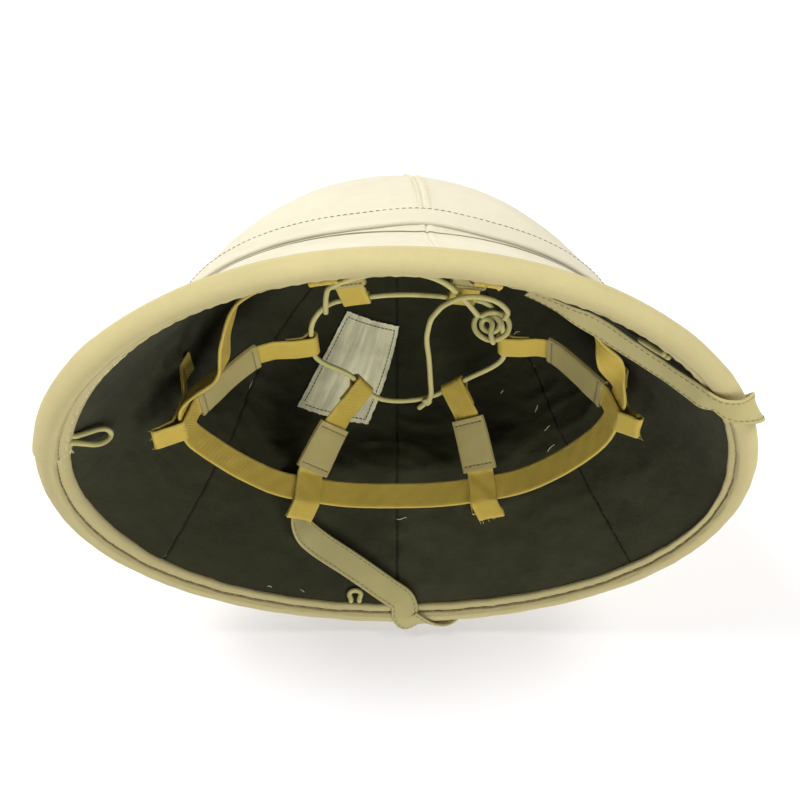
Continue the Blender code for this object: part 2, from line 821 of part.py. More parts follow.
def build_label(look):
    """Cloth label lying on the lining inside the crown."""
    work = bmesh.new()
    skins = []
    for lift in (GAP + 0.45, GAP + 0.45 + LABEL_THICK):
        rows = []
        for up_share in np.linspace(0.0, 1.0, 6):
            row = []
            for across in np.linspace(0.0, 1.0, 4):
                low = np.array(LABEL_LOW[0]) * (1.0 - across) + np.array(LABEL_LOW[1]) * across
                high = np.array(LABEL_HIGH[0]) * (1.0 - across) + np.array(LABEL_HIGH[1]) * across
                angle, height = low * (1.0 - up_share) + high * up_share
                row.append(lining_point(math.radians(angle), height, lift))
            rows.append(add_ring(work, row))
        for low, high in zip(rows, rows[1:]):
            for index in range(len(low) - 1):
                work.faces.new((low[index], low[index + 1], high[index + 1], high[index]))
        border = rows[0] + [row[-1] for row in rows[1:-1]] + rows[-1][::-1]
        skins.append(border + [row[0] for row in rows[-2:0:-1]])
    bridge(work, *skins)
    mesh_object("label", work, look)


def lay_down(pose, floor):
    """Turn the helmet on its side, on the floor plane, with its box centred over the origin."""
    normal, _ = floor
    turn = math.atan2(-normal[1], -normal[2])
    pose.rotation_euler = (turn, 0.0, 0.0)
    bpy.context.view_layer.update()
    graph = bpy.context.evaluated_depsgraph_get()
    corners = []
    for made in pose.children:
        if made.name == "drawcord_tail":
            continue
        shape = made.evaluated_get(graph)
        mesh = shape.to_mesh()
        corners += [made.matrix_world @ vertex.co for vertex in mesh.vertices]
        shape.to_mesh_clear()
    low = Vector([min(corner[axis] for corner in corners) for axis in range(3)])
    high = Vector([max(corner[axis] for corner in corners) for axis in range(3)])
    pose.location = (-0.5 * (low.x + high.x), -0.5 * (low.y + high.y), -low.z)


def main():
    for old in list(bpy.data.objects):
        bpy.data.objects.remove(old)
    pose = bpy.data.objects.new("lying_pose", None)
    bpy.context.collection.objects.link(pose)
    looks = {
        "cloth": material("cover_cloth", CLOTH, 0.9),
        "pith": material("pith", PITH, 0.95),
        "olive": material("lining_cloth", OLIVE, 0.85),
        "webbing": material("webbing", WEBBING, 0.8),
        "sleeve": material("sleeve_cloth", SLEEVE, 0.9),
        "cord": material("cord", CORD, 0.85),
        "patch": material("label_cloth", PATCH, 0.8),
        "strap": material("chin_strap_cloth", STRAP, 0.9),
    }
    floor = rest_plane()
    build_walls(looks, floor)
    build_band(looks["cloth"])
    build_binding(looks["cloth"])
    build_headband(looks["webbing"])
    for place in STRAPS:
        build_strap(place, looks)
    build_drawcord(looks["cord"])
    build_cord_loops(looks["cord"])
    build_chin_strap(looks["strap"], floor)
    build_label(looks["patch"])
    lay_down(pose, floor)


main()
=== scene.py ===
"""The look of a cloth-covered pith helmet lying on its side: cover, hem, lining, harness and cords.

The cloth is laid out in the worn helmet's frame, in millimetres (X along the helmet, +Z to the
crown, +Y to the side that lies on the floor), and turned onto the floor with the frame's pose.
"""

import math
import random

import bmesh
import bpy
import numpy as np
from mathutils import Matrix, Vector, noise


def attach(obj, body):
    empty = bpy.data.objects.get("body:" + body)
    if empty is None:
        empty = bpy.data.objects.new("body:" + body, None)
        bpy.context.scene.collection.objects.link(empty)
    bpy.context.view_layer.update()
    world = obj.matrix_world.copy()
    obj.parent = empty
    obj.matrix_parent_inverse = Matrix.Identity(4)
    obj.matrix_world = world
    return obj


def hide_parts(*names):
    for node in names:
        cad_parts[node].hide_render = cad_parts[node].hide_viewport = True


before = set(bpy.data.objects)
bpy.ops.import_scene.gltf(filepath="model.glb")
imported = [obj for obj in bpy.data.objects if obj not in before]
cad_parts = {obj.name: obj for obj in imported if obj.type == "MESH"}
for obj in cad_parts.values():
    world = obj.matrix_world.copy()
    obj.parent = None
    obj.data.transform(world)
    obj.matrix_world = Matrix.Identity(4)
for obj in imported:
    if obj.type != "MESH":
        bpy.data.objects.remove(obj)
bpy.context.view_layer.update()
bpy.ops.object.select_all(action="DESELECT")

MM = 0.001
UP = np.array((0.0, 0.0, 1.0))

# How the helmet lies: its turn about X and its place, in metres
LYING_TURN = -2.179752
LYING_PLACE = (0.0, -0.0314775, 0.1257119)

# Brim and crown
HALF_LENGTH = 169.0
HALF_WIDTH = 145.8
RIM_HEIGHT = -0.9
SIDE_RISE = 7.6
FOOT_HEIGHT = 70.0
BRIM_HOLLOW = 1.5
CROWN_HALF_LENGTH = 121.6
CROWN_HALF_WIDTH = 94.0
CROWN_BASE = 42.8
CROWN_RISE = 127.5
CROWN_POINTEDNESS = 1.6
FOOT_SWING = math.asin(((FOOT_HEIGHT - CROWN_BASE) / CROWN_RISE) ** (0.5 * CROWN_POINTEDNESS))
CROWN_TOP = CROWN_BASE + CROWN_RISE
NEAR_CROWN_TOP = 170.25

# Wall
GAP = 0.3
COVER_THICK = 1.0
WALL = 8.6
LINING_THICK = 0.9

# Band and rim
BAND_LOW = 71.8
BAND_WIDTH = 15.5
BAND_THICK = 1.0
BAND_PEAK = 4.5
BAND_PEAK_ANGLE = 277.0
BAND_PEAK_SPREAD = 11.0
ROLL_OUTER = -1.3
ROLL_INNER = 9.9
ROLL_DROP = 3.6

# Harness
WEBBING_WIDTH = 13.7
WEBBING_THICK = 1.4
HEADBAND_THICK = 1.5
HEADBAND_FLARE = 18.0
TWIST_PLACE = (102.0, -30.0, 39.5)
TWIST = 55.0
TWIST_SPREAD = 11.0
SLEEVE_WIDTH = 18.0
SLEEVE_THICK = 0.8
SLEEVE_CLEAR = 0.45
CORD_RADIUS = 1.35
RING_HEIGHT = 77.3
LOOP_RADIUS = CORD_RADIUS + GAP + 0.35 + 0.5 * WEBBING_THICK
FOLD_RADIUS = 1.0
SEAT_LENGTH = 7.0
SEAT_LIFT = GAP + 1.9

CHIN_WIDTH = 14.5
CHIN_THICK = 1.2
CHIN_LIFT = GAP + 0.5 * CHIN_THICK
CHIN_LEAVES = 84.4
CHIN_RETURNS = -22.5
CHIN_CLIMB = 0.42

HEADBAND = (
    # x, y, z, strap
    (107.0, -3.0, 34.0, "right"),
    (98.0, 26.0, 34.0, ""),
    (75.0, 52.0, 34.0, ""),
    (45.0, 66.5, 34.0, "lower_right"),
    (0.0, 73.0, 34.0, ""),
    (-46.5, 66.9, 34.0, "lower_left"),
    (-76.0, 50.0, 34.0, ""),
    (-97.0, 26.0, 34.0, ""),
    (-103.5, 5.0, 34.0, "left"),
    (-98.5, -13.0, 36.0, ""),
    (-84.0, -26.0, 39.0, ""),
    (-80.3, -49.0, 41.0, ""),
    (-70.5, -68.2, 51.5, ""),
    (-31.0, -79.4, 56.0, "upper_left"),
    (0.0, -82.0, 57.0, ""),
    (40.0, -78.5, 56.0, "upper_right"),
    (79.0, -63.5, 51.0, ""),
    (97.8, -41.8, 42.0, ""),
    (104.2, -24.0, 38.0, ""),
)
CROSSINGS = [row[3] for row in HEADBAND]

STRAPS = {
    # place: loop on the cord, bend, folded end, sleeve (gap, length), seat (turn, height)
    "right": ((54.2, 0.0), (77.3, -2.0, 74.6), (116.0, -6.0, 19.5), (1.8, 39.0), (0.0, 54.0)),
    "lower_right": ((30.0, 34.7), (38.2, 43.9, 63.0), (49.0, 73.0, 21.0), (1.8, 28.0), (6.0, 40.0)),
    "lower_left": ((-18.4, 34.7), (-32.4, 43.4, 62.0), (-50.5, 74.0, 21.0), (1.8, 27.0), (0.0, 46.0)),
    "left": ((-42.6, 0.0), (-70.0, 1.3, 74.0), (-117.0, 4.0, 19.5), (1.8, 40.0), (0.0, 64.0)),
    "upper_left": ((-19.5, -34.7), (-26.0, -68.0, 68.5), (-33.0, -87.0, 40.5), (6.5, 17.0), (0.0, 46.0)),
    "upper_right": ((31.5, -34.7), (37.0, -68.0, 68.5), (41.5, -85.5, 40.5), (6.5, 17.0), (0.0, 46.0)),
}

KNOT_PLACE = (46.4, -21.3, 72.5)
STRAND = (
    (40.5, -28.5, 70.6),
    (33.0, -44.0, 67.8),
    (20.5, -64.0, 63.0),
    (4.0, -72.0, 61.0),
    (-15.0, -72.5, 58.5),
    (-29.5, -65.5, 58.5),
    (-33.5, -50.0, 66.5),
    (-34.8, -28.0, 73.3),
)
TAIL = (
    (52.6, -26.6, 70.6),
    (54.0, -36.0, 67.8),
    (46.5, -47.9, 64.6),
    (34.0, -53.2, 62.2),
    (23.5, -45.2, 64.4),
    (18.5, -34.0, 67.5),
    (16.5, -25.0, 70.5),
    (15.0, -11.5, 71.0),
    (16.3, 5.0, 72.0),
    (17.4, 26.0, 73.2),
    (17.4, 40.0, 73.3),
    (11.2, 51.0, 74.5),
)

# Right, up and out as the photograph sees them, in the worn frame
VIEW_RIGHT = np.array((1.0, 0.0, 0.0))
VIEW_UP = np.array((0.0, -0.572, 0.820))
VIEW_OUT = np.array((0.0, -0.820, -0.572))

# Turns of the stopper knot from its middle, along those three ways
KNOT_TURNS = (
    (-5.9, 2.56, 7.0),
    (-1.0, 4.9, 5.5),
    (5.0, 4.6, 3.0),
    (9.0, 0.5, 1.5),
    (8.2, -4.6, 0.8),
    (4.0, -7.6, 0.4),
    (-0.5, -8.2, 0.2),
    (-5.3, -5.9, 0.2),
    (-8.0, -2.0, 0.3),
    (-7.4, 2.2, 0.6),
    (-4.0, 4.4, 1.2),
    (0.4, 3.9, 2.0),
    (4.2, 1.0, 2.4),
    (3.6, -2.9, 2.2),
    (0.3, -4.4, 2.0),
    (-3.9, -2.4, 1.8),
    (-4.2, 1.0, 2.4),
    (-1.4, 1.9, 4.0),
    (0.6, -0.6, 5.2),
    (-0.2, -4.6, 5.2),
    (0.6, -8.6, 4.2),
    (1.6, -10.6, 2.4),
)

CORD_LOOPS = {
    # place: angle round the brim, way up from the rim, tip, face, half width, half width of its foot
    "left": (190.0, 11.8, (-137.5, -4.5, 16.5), (0.55, -0.4, -0.7), 3.9, 1.7),
    "lower": (98.3, 7.8, (-22.6, 126.8, 8.9), (0.0, -0.85, -0.5), 3.2, 2.3),
    "upper_right": (319.3, 8.0, (109.8, -77.0, 15.8), (-0.55, 0.5, -0.67), 2.6, 1.6),
}

# Outline of a loop: which side, how far along its reach, share of its half width
LOOP_SIDE = ((0.0, 1.0), (0.30, 0.72), (0.62, 1.0), (0.86, 0.80))
LOOP_SHAPE = (
    *((-1.0, along, share) for along, share in LOOP_SIDE),
    (0.0, 1.0, 0.0),
    *((1.0, along, share) for along, share in LOOP_SIDE[::-1]),
)
LOOP_ROOT = 0.12

CHIN_LEFT = (
    # x, y, z, face
    (-51.9, 85.2, 35.0, (0.9, -0.35, -0.25)),
    (-51.1, 93.0, 28.6, (0.8, -0.5, -0.35)),
    (-43.5, 103.3, 25.2, (0.35, -0.72, -0.6)),
    (-25.6, 114.0, 17.8, (0.12, -0.73, -0.68)),
    (-4.2, 126.8, 8.2, (0.02, -0.72, -0.7)),
    (3.5, 131.0, 4.0, (-0.02, -0.71, -0.71)),
)
CHIN_RIGHT = (
    (136.7, -62.3, -5.3, (-0.62, 0.0, -0.78)),
    (132.4, -62.6, -1.1, (-0.57, 0.06, -0.82)),
    (126.6, -63.7, 3.5, (-0.55, 0.12, -0.83)),
    (119.2, -65.4, 9.0, (-0.52, 0.12, -0.84)),
    (110.0, -68.2, 14.6, (-0.48, 0.12, -0.87)),
    (101.1, -71.5, 19.4, (-0.45, 0.10, -0.89)),
    (92.0, -75.5, 24.0, (-0.41, 0.07, -0.91)),
    (84.6, -78.6, 26.8, (-0.34, 0.12, -0.93)),
    (76.2, -83.0, 28.6, (-0.34, 0.40, -0.90)),
    (66.7, -86.4, 32.0, (-0.40, 0.48, -0.86)),
    (58.9, -88.7, 34.0, (-0.36, 0.54, -0.85)),
)

LABEL_LOW = ((121.9, 85.7), (98.7, 82.6))
LABEL_HIGH = ((114.8, 136.0), (89.0, 131.6))

COVER_SEAMS = (7.0, 97.0, 187.0, 277.0)
LINING_SEAMS = (40.0, 90.0, 140.0, 220.0, 270.0, 320.0)

# How far the hem reaches up the lining (mm) at angles round the brim
HEM_REACH = (
    (0.0, 6.8),
    (16.0, 5.0),
    (32.0, 6.2),
    (57.0, 6.8),
    (87.0, 7.0),
    (117.0, 6.8),
    (141.0, 8.2),
    (158.0, 10.2),
    (178.0, 10.6),
    (193.0, 12.3),
    (210.0, 14.6),
    (225.0, 12.0),
    (245.0, 8.0),
    (300.0, 7.5),
    (345.0, 6.8),
    (353.0, 8.0),
)
LAP_FROM = 186.9
LAP_FADES = 214.0
LAP_TO = 232.0
LAP_SEWN_TO = 222.0
LAP_STEPS = (186.6, 186.8, 187.0, 187.2)


# Geometry of the helmet


def triple(x, y, z):
    return np.stack(np.broadcast_arrays(x, y, z), axis=-1).astype(float)


def unit(vector):
    return vector / np.linalg.norm(vector, axis=-1, keepdims=True)


def wide(value):
    return np.asarray(value, float)[..., None]


def rim_edge(angle):
    """Lower edge of the cover at an angle round the brim."""
    rise = RIM_HEIGHT + SIDE_RISE * np.sin(angle) ** 2
    return triple(HALF_LENGTH * np.cos(angle), HALF_WIDTH * np.sin(angle), rise)


def crown_point(angle, height):
    rise = np.clip((height - CROWN_BASE) / CROWN_RISE, 0.0, 1.0)
    width = np.sqrt(1.0 - rise ** CROWN_POINTEDNESS)
    x = CROWN_HALF_LENGTH * width * np.cos(angle)
    return triple(x, CROWN_HALF_WIDTH * width * np.sin(angle), height)


def brim_point(angle, share):
    """Point on the brim's cover, from the rim (0) to the foot of the crown (1)."""
    low = rim_edge(angle)
    high = crown_point(angle, FOOT_HEIGHT)
    inward = triple(-np.cos(angle), -np.sin(angle), -1.0) / math.sqrt(2.0)
    share = wide(share)
    return low + (high - low) * share + inward * 4.0 * BRIM_HOLLOW * share * (1.0 - share)


def surface_normal(point_at, angle, along):
    turn = point_at(angle + 0.01, along) - point_at(angle - 0.01, along)
    climb = point_at(angle, along + 0.002) - point_at(angle, along - 0.002)
    return unit(np.cross(turn, climb))


def brim_normal(angle, share):
    return surface_normal(brim_point, angle, np.clip(share, 0.01, 0.99))


def crown_normal(angle, height):
    return surface_normal(crown_point, angle, height)


def brim_layer(angle, share, depth):
    """Point a given depth under the brim's cover."""
    return brim_point(angle, share) - brim_normal(angle, share) * wide(depth)


def crown_layer(angle, height, depth):
    return crown_point(angle, height) - crown_normal(angle, height) * wide(depth)


def foot_layer(angle, depth):
    """Point under the corner between brim and crown, on the line that halves the corner."""
    crown = crown_normal(angle, FOOT_HEIGHT)
    middle = unit(brim_normal(angle, 1.0) + crown)
    reach = wide(depth) / np.sum(middle * crown, axis=-1, keepdims=True)
    return crown_point(angle, FOOT_HEIGHT) - middle * reach


def crown_height(along):
    """Height on the crown for a share of the way from its foot (0) to its top (1)."""
    swing = FOOT_SWING + (0.5 * math.pi - FOOT_SWING) * along
    return CROWN_BASE + CROWN_RISE * np.sin(swing) ** (2.0 / CROWN_POINTEDNESS)


def brim_slant(angle):
    """Length up the brim's cover, from the rim to the foot of the crown."""
    return np.linalg.norm(brim_point(angle, 1.0) - brim_point(angle, 0.0), axis=-1)


def lining_point(angle, height, lift=0.0):
    """Point at a height on the lining's face, lifted off it towards the head."""
    if height > foot_layer(angle, WALL)[2]:
        layer, low, high = crown_layer, FOOT_HEIGHT, CROWN_TOP - 1.0
    else:
        layer, low, high = brim_layer, 0.0, 1.0
    for _ in range(24):
        middle = 0.5 * (low + high)
        if layer(angle, middle, WALL)[2] < height:
            low = middle
        else:
            high = middle
    return layer(angle, low, WALL + lift)


def rim_axes(angle):
    """Lower edge of the cover, the way through the wall from it, and the way out below."""
    down = unit(brim_point(angle, 0.0) - brim_point(angle, 0.1))
    return brim_point(angle, 0.0), -brim_normal(angle, 0.0), down


def rim_roll(angle, turn, lift):
    """Point on the rolled rim, from its outside (180) through below (90) to its inside (0)."""
    edge, across, down = rim_axes(angle)
    middle = 0.5 * (ROLL_OUTER + ROLL_INNER)
    reach = 0.5 * (ROLL_INNER - ROLL_OUTER) + lift
    swing = np.radians(turn)
    sideways = across * wide(middle + reach * np.cos(swing))
    return edge + sideways + down * wide((ROLL_DROP + lift) * np.sin(swing))


def smooth_step(low, high, value):
    share = np.clip((value - low) / (high - low), 0.0, 1.0)
    return share * share * (3.0 - 2.0 * share)


def from_angle(degrees, angle):
    """Signed distance in degrees round the helmet."""
    return (np.degrees(angle) - degrees + 180.0) % 360.0 - 180.0


def grain(points, size, seed):
    """Soft noise between about -1 and 1 at points, in the worn frame."""
    flat = np.asarray(points).reshape(-1, 3) / size + seed * 7.31
    values = [noise.noise(Vector(point)) for point in flat]
    return np.array(values).reshape(np.shape(points)[:-1])


def smooth_curve(points, per_span, closed=False, straight=()):
    """Points along a smooth curve through the given ones; spans in straight stay straight."""
    knots = [np.array(point, float) for point in points]
    count = len(knots)
    ways = []
    for index in range(count):
        before, after = index - 1, index + 1
        if index in straight or (index == 0 and not closed):
            before = index
        elif index - 1 in straight or (after == count and not closed):
            after = index
        ways.append(unit(knots[after % count] - knots[before]))
    path = []
    for index in range(count if closed else count - 1):
        after = (index + 1) % count
        reach = float(np.linalg.norm(knots[after] - knots[index]))
        for step in range(per_span):
            share = step / per_span
            square = share * share
            cube = square * share
            path.append(
                knots[index] * (2.0 * cube - 3.0 * square + 1.0)
                + ways[index] * reach * (cube - 2.0 * square + share)
                + knots[after] * (3.0 * square - 2.0 * cube)
                + ways[after] * reach * (cube - square)
            )
    if not closed:
        path.append(knots[-1])
    return path


def point_along(path, distance):
    for start, end in zip(path, path[1:]):
        length = float(np.linalg.norm(end - start))
        if distance <= length:
            return start + (end - start) * distance / length
        distance -= length
    return path[-1]


def path_length(path):
    return float(np.sum(np.linalg.norm(np.diff(np.asarray(path), axis=0), axis=1)))


def evenly(path, rows, step, closed=False, rounds=3):
    """A path and the rows that go with it, at even steps and with its corners eased."""
    path = np.asarray(path, float)
    rows = [np.asarray(row, float) for row in rows]
    if closed:
        path = np.vstack((path, path[:1]))
        rows = [np.vstack((row, row[:1])) for row in rows]
    reach = np.concatenate(([0.0], np.cumsum(np.linalg.norm(np.diff(path, axis=0), axis=1))))
    count = max(4, int(round(reach[-1] / step)))
    at = np.linspace(0.0, reach[-1], count + 1)
    made = []
    for table in [path] + rows:
        table = np.stack([np.interp(at, reach, table[:, axis]) for axis in range(3)], axis=1)
        if closed:
            table = table[:-1]
        for _ in range(rounds):
            before = np.roll(table, 1, axis=0)
            after = np.roll(table, -1, axis=0)
            eased = 0.5 * table + 0.25 * (before + after)
            if not closed:
                eased[0], eased[-1] = table[0], table[-1]
            table = eased
        made.append(table)
    return made


def ways_of(path, closed=False):
    """Directions of travel along a path."""
    if closed:
        return unit(np.roll(path, -1, axis=0) - np.roll(path, 1, axis=0))
    ways = np.empty_like(path)
    ways[1:-1] = path[2:] - path[:-2]
    ways[0], ways[-1] = path[1] - path[0], path[-1] - path[-2]
    return unit(ways)


def on_floor(points):
    """World places, in metres, of points in the worn frame."""
    points = np.asarray(points, float) * MM
    cosine, sine = math.cos(LYING_TURN), math.sin(LYING_TURN)
    x = points[..., 0]
    y = points[..., 1] * cosine - points[..., 2] * sine
    z = points[..., 1] * sine + points[..., 2] * cosine
    return np.stack((x, y, z), axis=-1) + np.array(LYING_PLACE)


def ground_dip(points):
    """Press what would reach through the floor flat against it."""
    placed = on_floor(points)
    low = np.minimum(placed[..., 2], 0.0)
    cosine, sine = math.cos(LYING_TURN), math.sin(LYING_TURN)
    lift = np.stack((low * 0.0, -low * sine, -low * cosine), axis=-1) / MM
    return points + lift


# Making pieces


SAME_PLACE = 0.4e-6


def finish_piece(name, points, faces, look, slot, nodes, uvs, smooth=40.0, press=True):
    """A mesh piece from points in the worn frame, with its cloth coordinates in millimetres."""
    if press:
        points = ground_dip(points)
    mesh = bpy.data.meshes.new(name)
    mesh.from_pydata([tuple(point) for point in on_floor(points)], [], faces)
    layer = mesh.uv_layers.new(name="cloth")
    layer.data.foreach_set("uv", np.asarray(uvs, float).ravel())
    work = bmesh.new()
    work.from_mesh(mesh)
    bmesh.ops.remove_doubles(work, verts=work.verts, dist=SAME_PLACE)
    bmesh.ops.dissolve_degenerate(work, edges=work.edges, dist=SAME_PLACE)
    if work.calc_volume(signed=True) < 0.0:
        bmesh.ops.reverse_faces(work, faces=work.faces)
    work.to_mesh(mesh)
    work.free()
    mesh.shade_smooth()
    mesh.set_sharp_from_angle(angle=math.radians(smooth))
    mesh.materials.append(look)
    piece = bpy.data.objects.new(name, mesh)
    bpy.context.collection.objects.link(piece)
    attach(piece, "root")
    if nodes:
        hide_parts(*nodes)
    return piece


def grid_faces(rows, columns, around, start=0, flip=False, closed=False):
    """Quads between the rows of a grid of points, and the grid places of their corners."""
    faces = []
    corners = []
    for row in range(rows if closed else rows - 1):
        low = start + row * columns
        high = start + (row + 1) % rows * columns
        for column in range(columns if around else columns - 1):
            after = (column + 1) % columns
            quad = (low + column, low + after, high + after, high + column)
            spots = ((row, column), (row, column + 1), (row + 1, column + 1), (row + 1, column))
            faces.append(quad[::-1] if flip else quad)
            corners.append(spots[::-1] if flip else spots)
    return faces, corners


def shell(name, front, back, around, look, slot, nodes, **more):
    """A closed cloth between a front and a back skin, each a grid of points."""
    rows, columns = front.shape[:2]
    uv = cloth_coordinates(front, around)
    points = np.concatenate((front.reshape(-1, 3), back.reshape(-1, 3)))
    faces, corners = grid_faces(rows, columns, around)
    hidden, hidden_corners = grid_faces(rows, columns, around, rows * columns, True)
    faces += hidden
    corners += hidden_corners
    shift = rows * columns
    for row in (0, rows - 1):
        for column in range(columns if around else columns - 1):
            after = (column + 1) % columns
            first, second = row * columns + column, row * columns + after
            quad = (first, first + shift, second + shift, second)
            spots = ((row, column), (row, column), (row, column + 1), (row, column + 1))
            faces.append(quad if row == 0 else quad[::-1])
            corners.append(spots if row == 0 else spots[::-1])
    if not around:
        for column in (0, columns - 1):
            for row in range(rows - 1):
                first, second = row * columns + column, (row + 1) * columns + column
                quad = (first, second, second + shift, first + shift)
                spots = ((row, column), (row + 1, column), (row + 1, column), (row, column))
                faces.append(quad if column == 0 else quad[::-1])
                corners.append(spots if column == 0 else spots[::-1])
    uvs = [uv[row, column] for face in corners for row, column in face]
    return finish_piece(name, points, faces, look, slot, nodes, uvs, **more)


def cloth_coordinates(grid, around):
    """Cloth coordinates, in mm: along the columns and up the rows of a grid of points."""
    rows = grid.shape[0]
    closed = np.concatenate((grid, grid[:, :1]), axis=1) if around else grid
    middle = closed[rows // 3]
    across = np.concatenate(([0.0], np.cumsum(np.linalg.norm(np.diff(middle, axis=0), axis=1))))
    steps = np.linalg.norm(np.diff(closed, axis=0), axis=2)
    up = np.concatenate((np.zeros((1, closed.shape[1])), np.cumsum(steps, axis=0)))
    return np.stack((np.broadcast_to(across, up.shape), up), axis=-1)


def loft(name, sections, look, slot, nodes, closed=False, **more):
    """A solid through cross-sections (rows) of points, capped unless it closes on itself."""
    rows, columns = sections.shape[:2]
    ring = np.concatenate((sections, sections[:, :1]), axis=1)
    widths = np.linalg.norm(np.diff(ring, axis=1), axis=2).mean(axis=0)
    across = np.concatenate(([0.0], np.cumsum(widths)))
    steps = np.linalg.norm(np.diff(sections, axis=0), axis=2).mean(axis=1)
    along = np.concatenate(([0.0], np.cumsum(steps)))
    last = along[-1] + float(np.linalg.norm(sections[0] - sections[-1], axis=1).mean())
    along = np.append(along, last)
    uv = np.stack(np.broadcast_arrays(across[None, :], along[:, None]), axis=-1)
    faces, corners = grid_faces(rows, columns, True, closed=closed)
    if not closed:
        for row, order in ((0, -1), (rows - 1, 1)):
            ring = range(columns)[::order]
            faces.append([row * columns + column for column in ring])
            corners.append([(row, column) for column in ring])
    uvs = [uv[row, column] for face in corners for row, column in face]
    return finish_piece(name, sections.reshape(-1, 3), faces, look, slot, nodes, uvs, **more)


def flat_profile(width, thick, spans, selvedge=0.0):
    """Cross-section of a woven strip: across and outward offsets, round at the edges."""
    half, radius = 0.5 * width, 0.5 * thick
    flat = half - radius
    places = np.linspace(-flat, flat, spans + 1)
    ridge = selvedge * smooth_step(half - 1.7, half - 1.2, np.abs(places))
    top = [(place, radius + more) for place, more in zip(places, ridge)]
    bottom = [(place, -radius - more) for place, more in zip(places, ridge)][::-1]
    right = [(flat + radius * math.cos(turn), radius * math.sin(turn)) for turn in (0.8, 0.0, -0.8)]
    left = [(-across, -out) for across, out in right]
    return np.array(top + right + bottom + left)


def strip_sections(path, sides, profile, closed=False):
    """Cross-sections of a strip along a path whose width follows sides."""
    ways = ways_of(path, closed)
    sides = unit(sides - ways * np.sum(sides * ways, axis=1, keepdims=True))
    faces = np.cross(ways, sides)
    across = profile[None, :, :1] * sides[:, None, :]
    out = profile[None, :, 1:] * faces[:, None, :]
    return path[:, None, :] + across + out, sides, faces


def strip_piece(name, path, sides, profile, rough, look, slot, node, closed=False):
    """A woven strip with a rough surface (height, size, seed); gives its sides and faces."""
    sections, sides, faces = strip_sections(path, sides, profile, closed)
    height, size, seed = rough
    sections += faces[:, None, :] * (height * grain(sections, size, seed))[..., None]
    loft(name, sections, look, slot, (node,), closed)
    return sides, faces


def tube_frames(path, closed=False):
    """Two directions square to a path that don't turn about it."""
    ways = ways_of(path, closed)
    first = unit(np.cross(ways[0], UP + 0.1))
    firsts = [first]
    for way in ways[1:]:
        first = unit(first - way * float(first @ way))
        firsts.append(first)
    firsts = np.array(firsts)
    if closed:
        last = unit(firsts[-1] - ways[0] * float(firsts[-1] @ ways[0]))
        turn = math.atan2(float(np.cross(last, firsts[0]) @ ways[0]), float(last @ firsts[0]))
        seconds = np.cross(ways, firsts)
        swing = wide(turn * np.arange(len(path)) / len(path))
        firsts = firsts * np.cos(swing) + seconds * np.sin(swing)
    return firsts, np.cross(ways, firsts)


CORD_SIDES = 20
CORD_STEP = 0.45
BRAID_STRANDS = 8
BRAID_PITCH = 7.5
BRAID_DEPTH = 0.11


def cord_piece(name, path, nodes, closed=False, radius=CORD_RADIUS, rounds=3):
    """A braided cord along a path, its ends drawn in."""
    path = evenly(path, (), CORD_STEP, closed, rounds)[0]
    firsts, seconds = tube_frames(path, closed)
    turns = np.linspace(0.0, math.tau, CORD_SIDES, endpoint=False)
    along = np.arange(len(path)) * CORD_STEP
    whole = max(1, round(along[-1] / BRAID_PITCH))
    wind = math.tau * wide(along) * whole / along[-1]
    braid = np.maximum(
        np.abs(np.cos(0.5 * BRAID_STRANDS * turns + wind * 2.0)),
        np.abs(np.cos(0.5 * BRAID_STRANDS * turns - wind * 2.0)),
    )
    reach = radius * (1.0 - BRAID_DEPTH + BRAID_DEPTH * braid * 1.15)
    if not closed:
        ends = np.minimum(along, along[-1] - along)
        reach *= np.sqrt(np.clip(wide(ends) / (0.9 * radius), 0.08, 1.0))
    sections = (
        path[:, None, :]
        + firsts[:, None, :] * (reach * np.cos(turns))[..., None]
        + seconds[:, None, :] * (reach * np.sin(turns))[..., None]
    )
    return loft(name, sections, LOOKS["cord"], "cord", nodes, closed)


THREAD_SIDES = 5
THREAD_FLOOR_GAP = 0.0006


def threads(name, paths, radius, look, slot):
    """Threads as one piece, without those that would lie against the floor."""
    points = []
    faces = []
    for path in paths:
        path = np.asarray(path, float)
        if on_floor(path)[:, 2].min() <= THREAD_FLOOR_GAP:
            continue
        firsts, seconds = tube_frames(path)
        start = len(points)
        for place, first, second in zip(path, firsts, seconds):
            for side in range(THREAD_SIDES):
                swing = math.tau * side / THREAD_SIDES
                points.append(place + (first * math.cos(swing) + second * math.sin(swing)) * radius)
        faces += grid_faces(len(path), THREAD_SIDES, True, start)[0]
        faces.append(range(start, start + THREAD_SIDES)[::-1])
        faces.append(range(len(points) - THREAD_SIDES, len(points)))
    uvs = [(0.0, 0.0) for face in faces for _ in face]
    finish_piece(name, points, faces, look, slot, (), uvs, press=False)


STITCH_STEP = 0.5
STITCH_SINK = 0.2


def stitch_paths(path, outs, pitch, length, rise):
    """Short arcs of thread along a line on cloth, dipping into it at both ends."""
    path, outs = evenly(path, (outs,), STITCH_STEP, False, 0)
    last = len(path) - 1
    made = []
    start = 0.5 * pitch
    while start + length < STITCH_STEP * last:
        spots = []
        for share in (0.0, 0.2, 0.5, 0.8, 1.0):
            steps = (start + length * share) / STITCH_STEP
            at = min(int(round(steps)), last)
            lift = (rise + STITCH_SINK) * (1.0 - (2.0 * share - 1.0) ** 4) - STITCH_SINK
            place = path[at] + (path[min(at + 1, last)] - path[at]) * (steps - at)
            spots.append(place + unit(outs[at]) * lift)
        made.append(spots)
        start += pitch
    return made


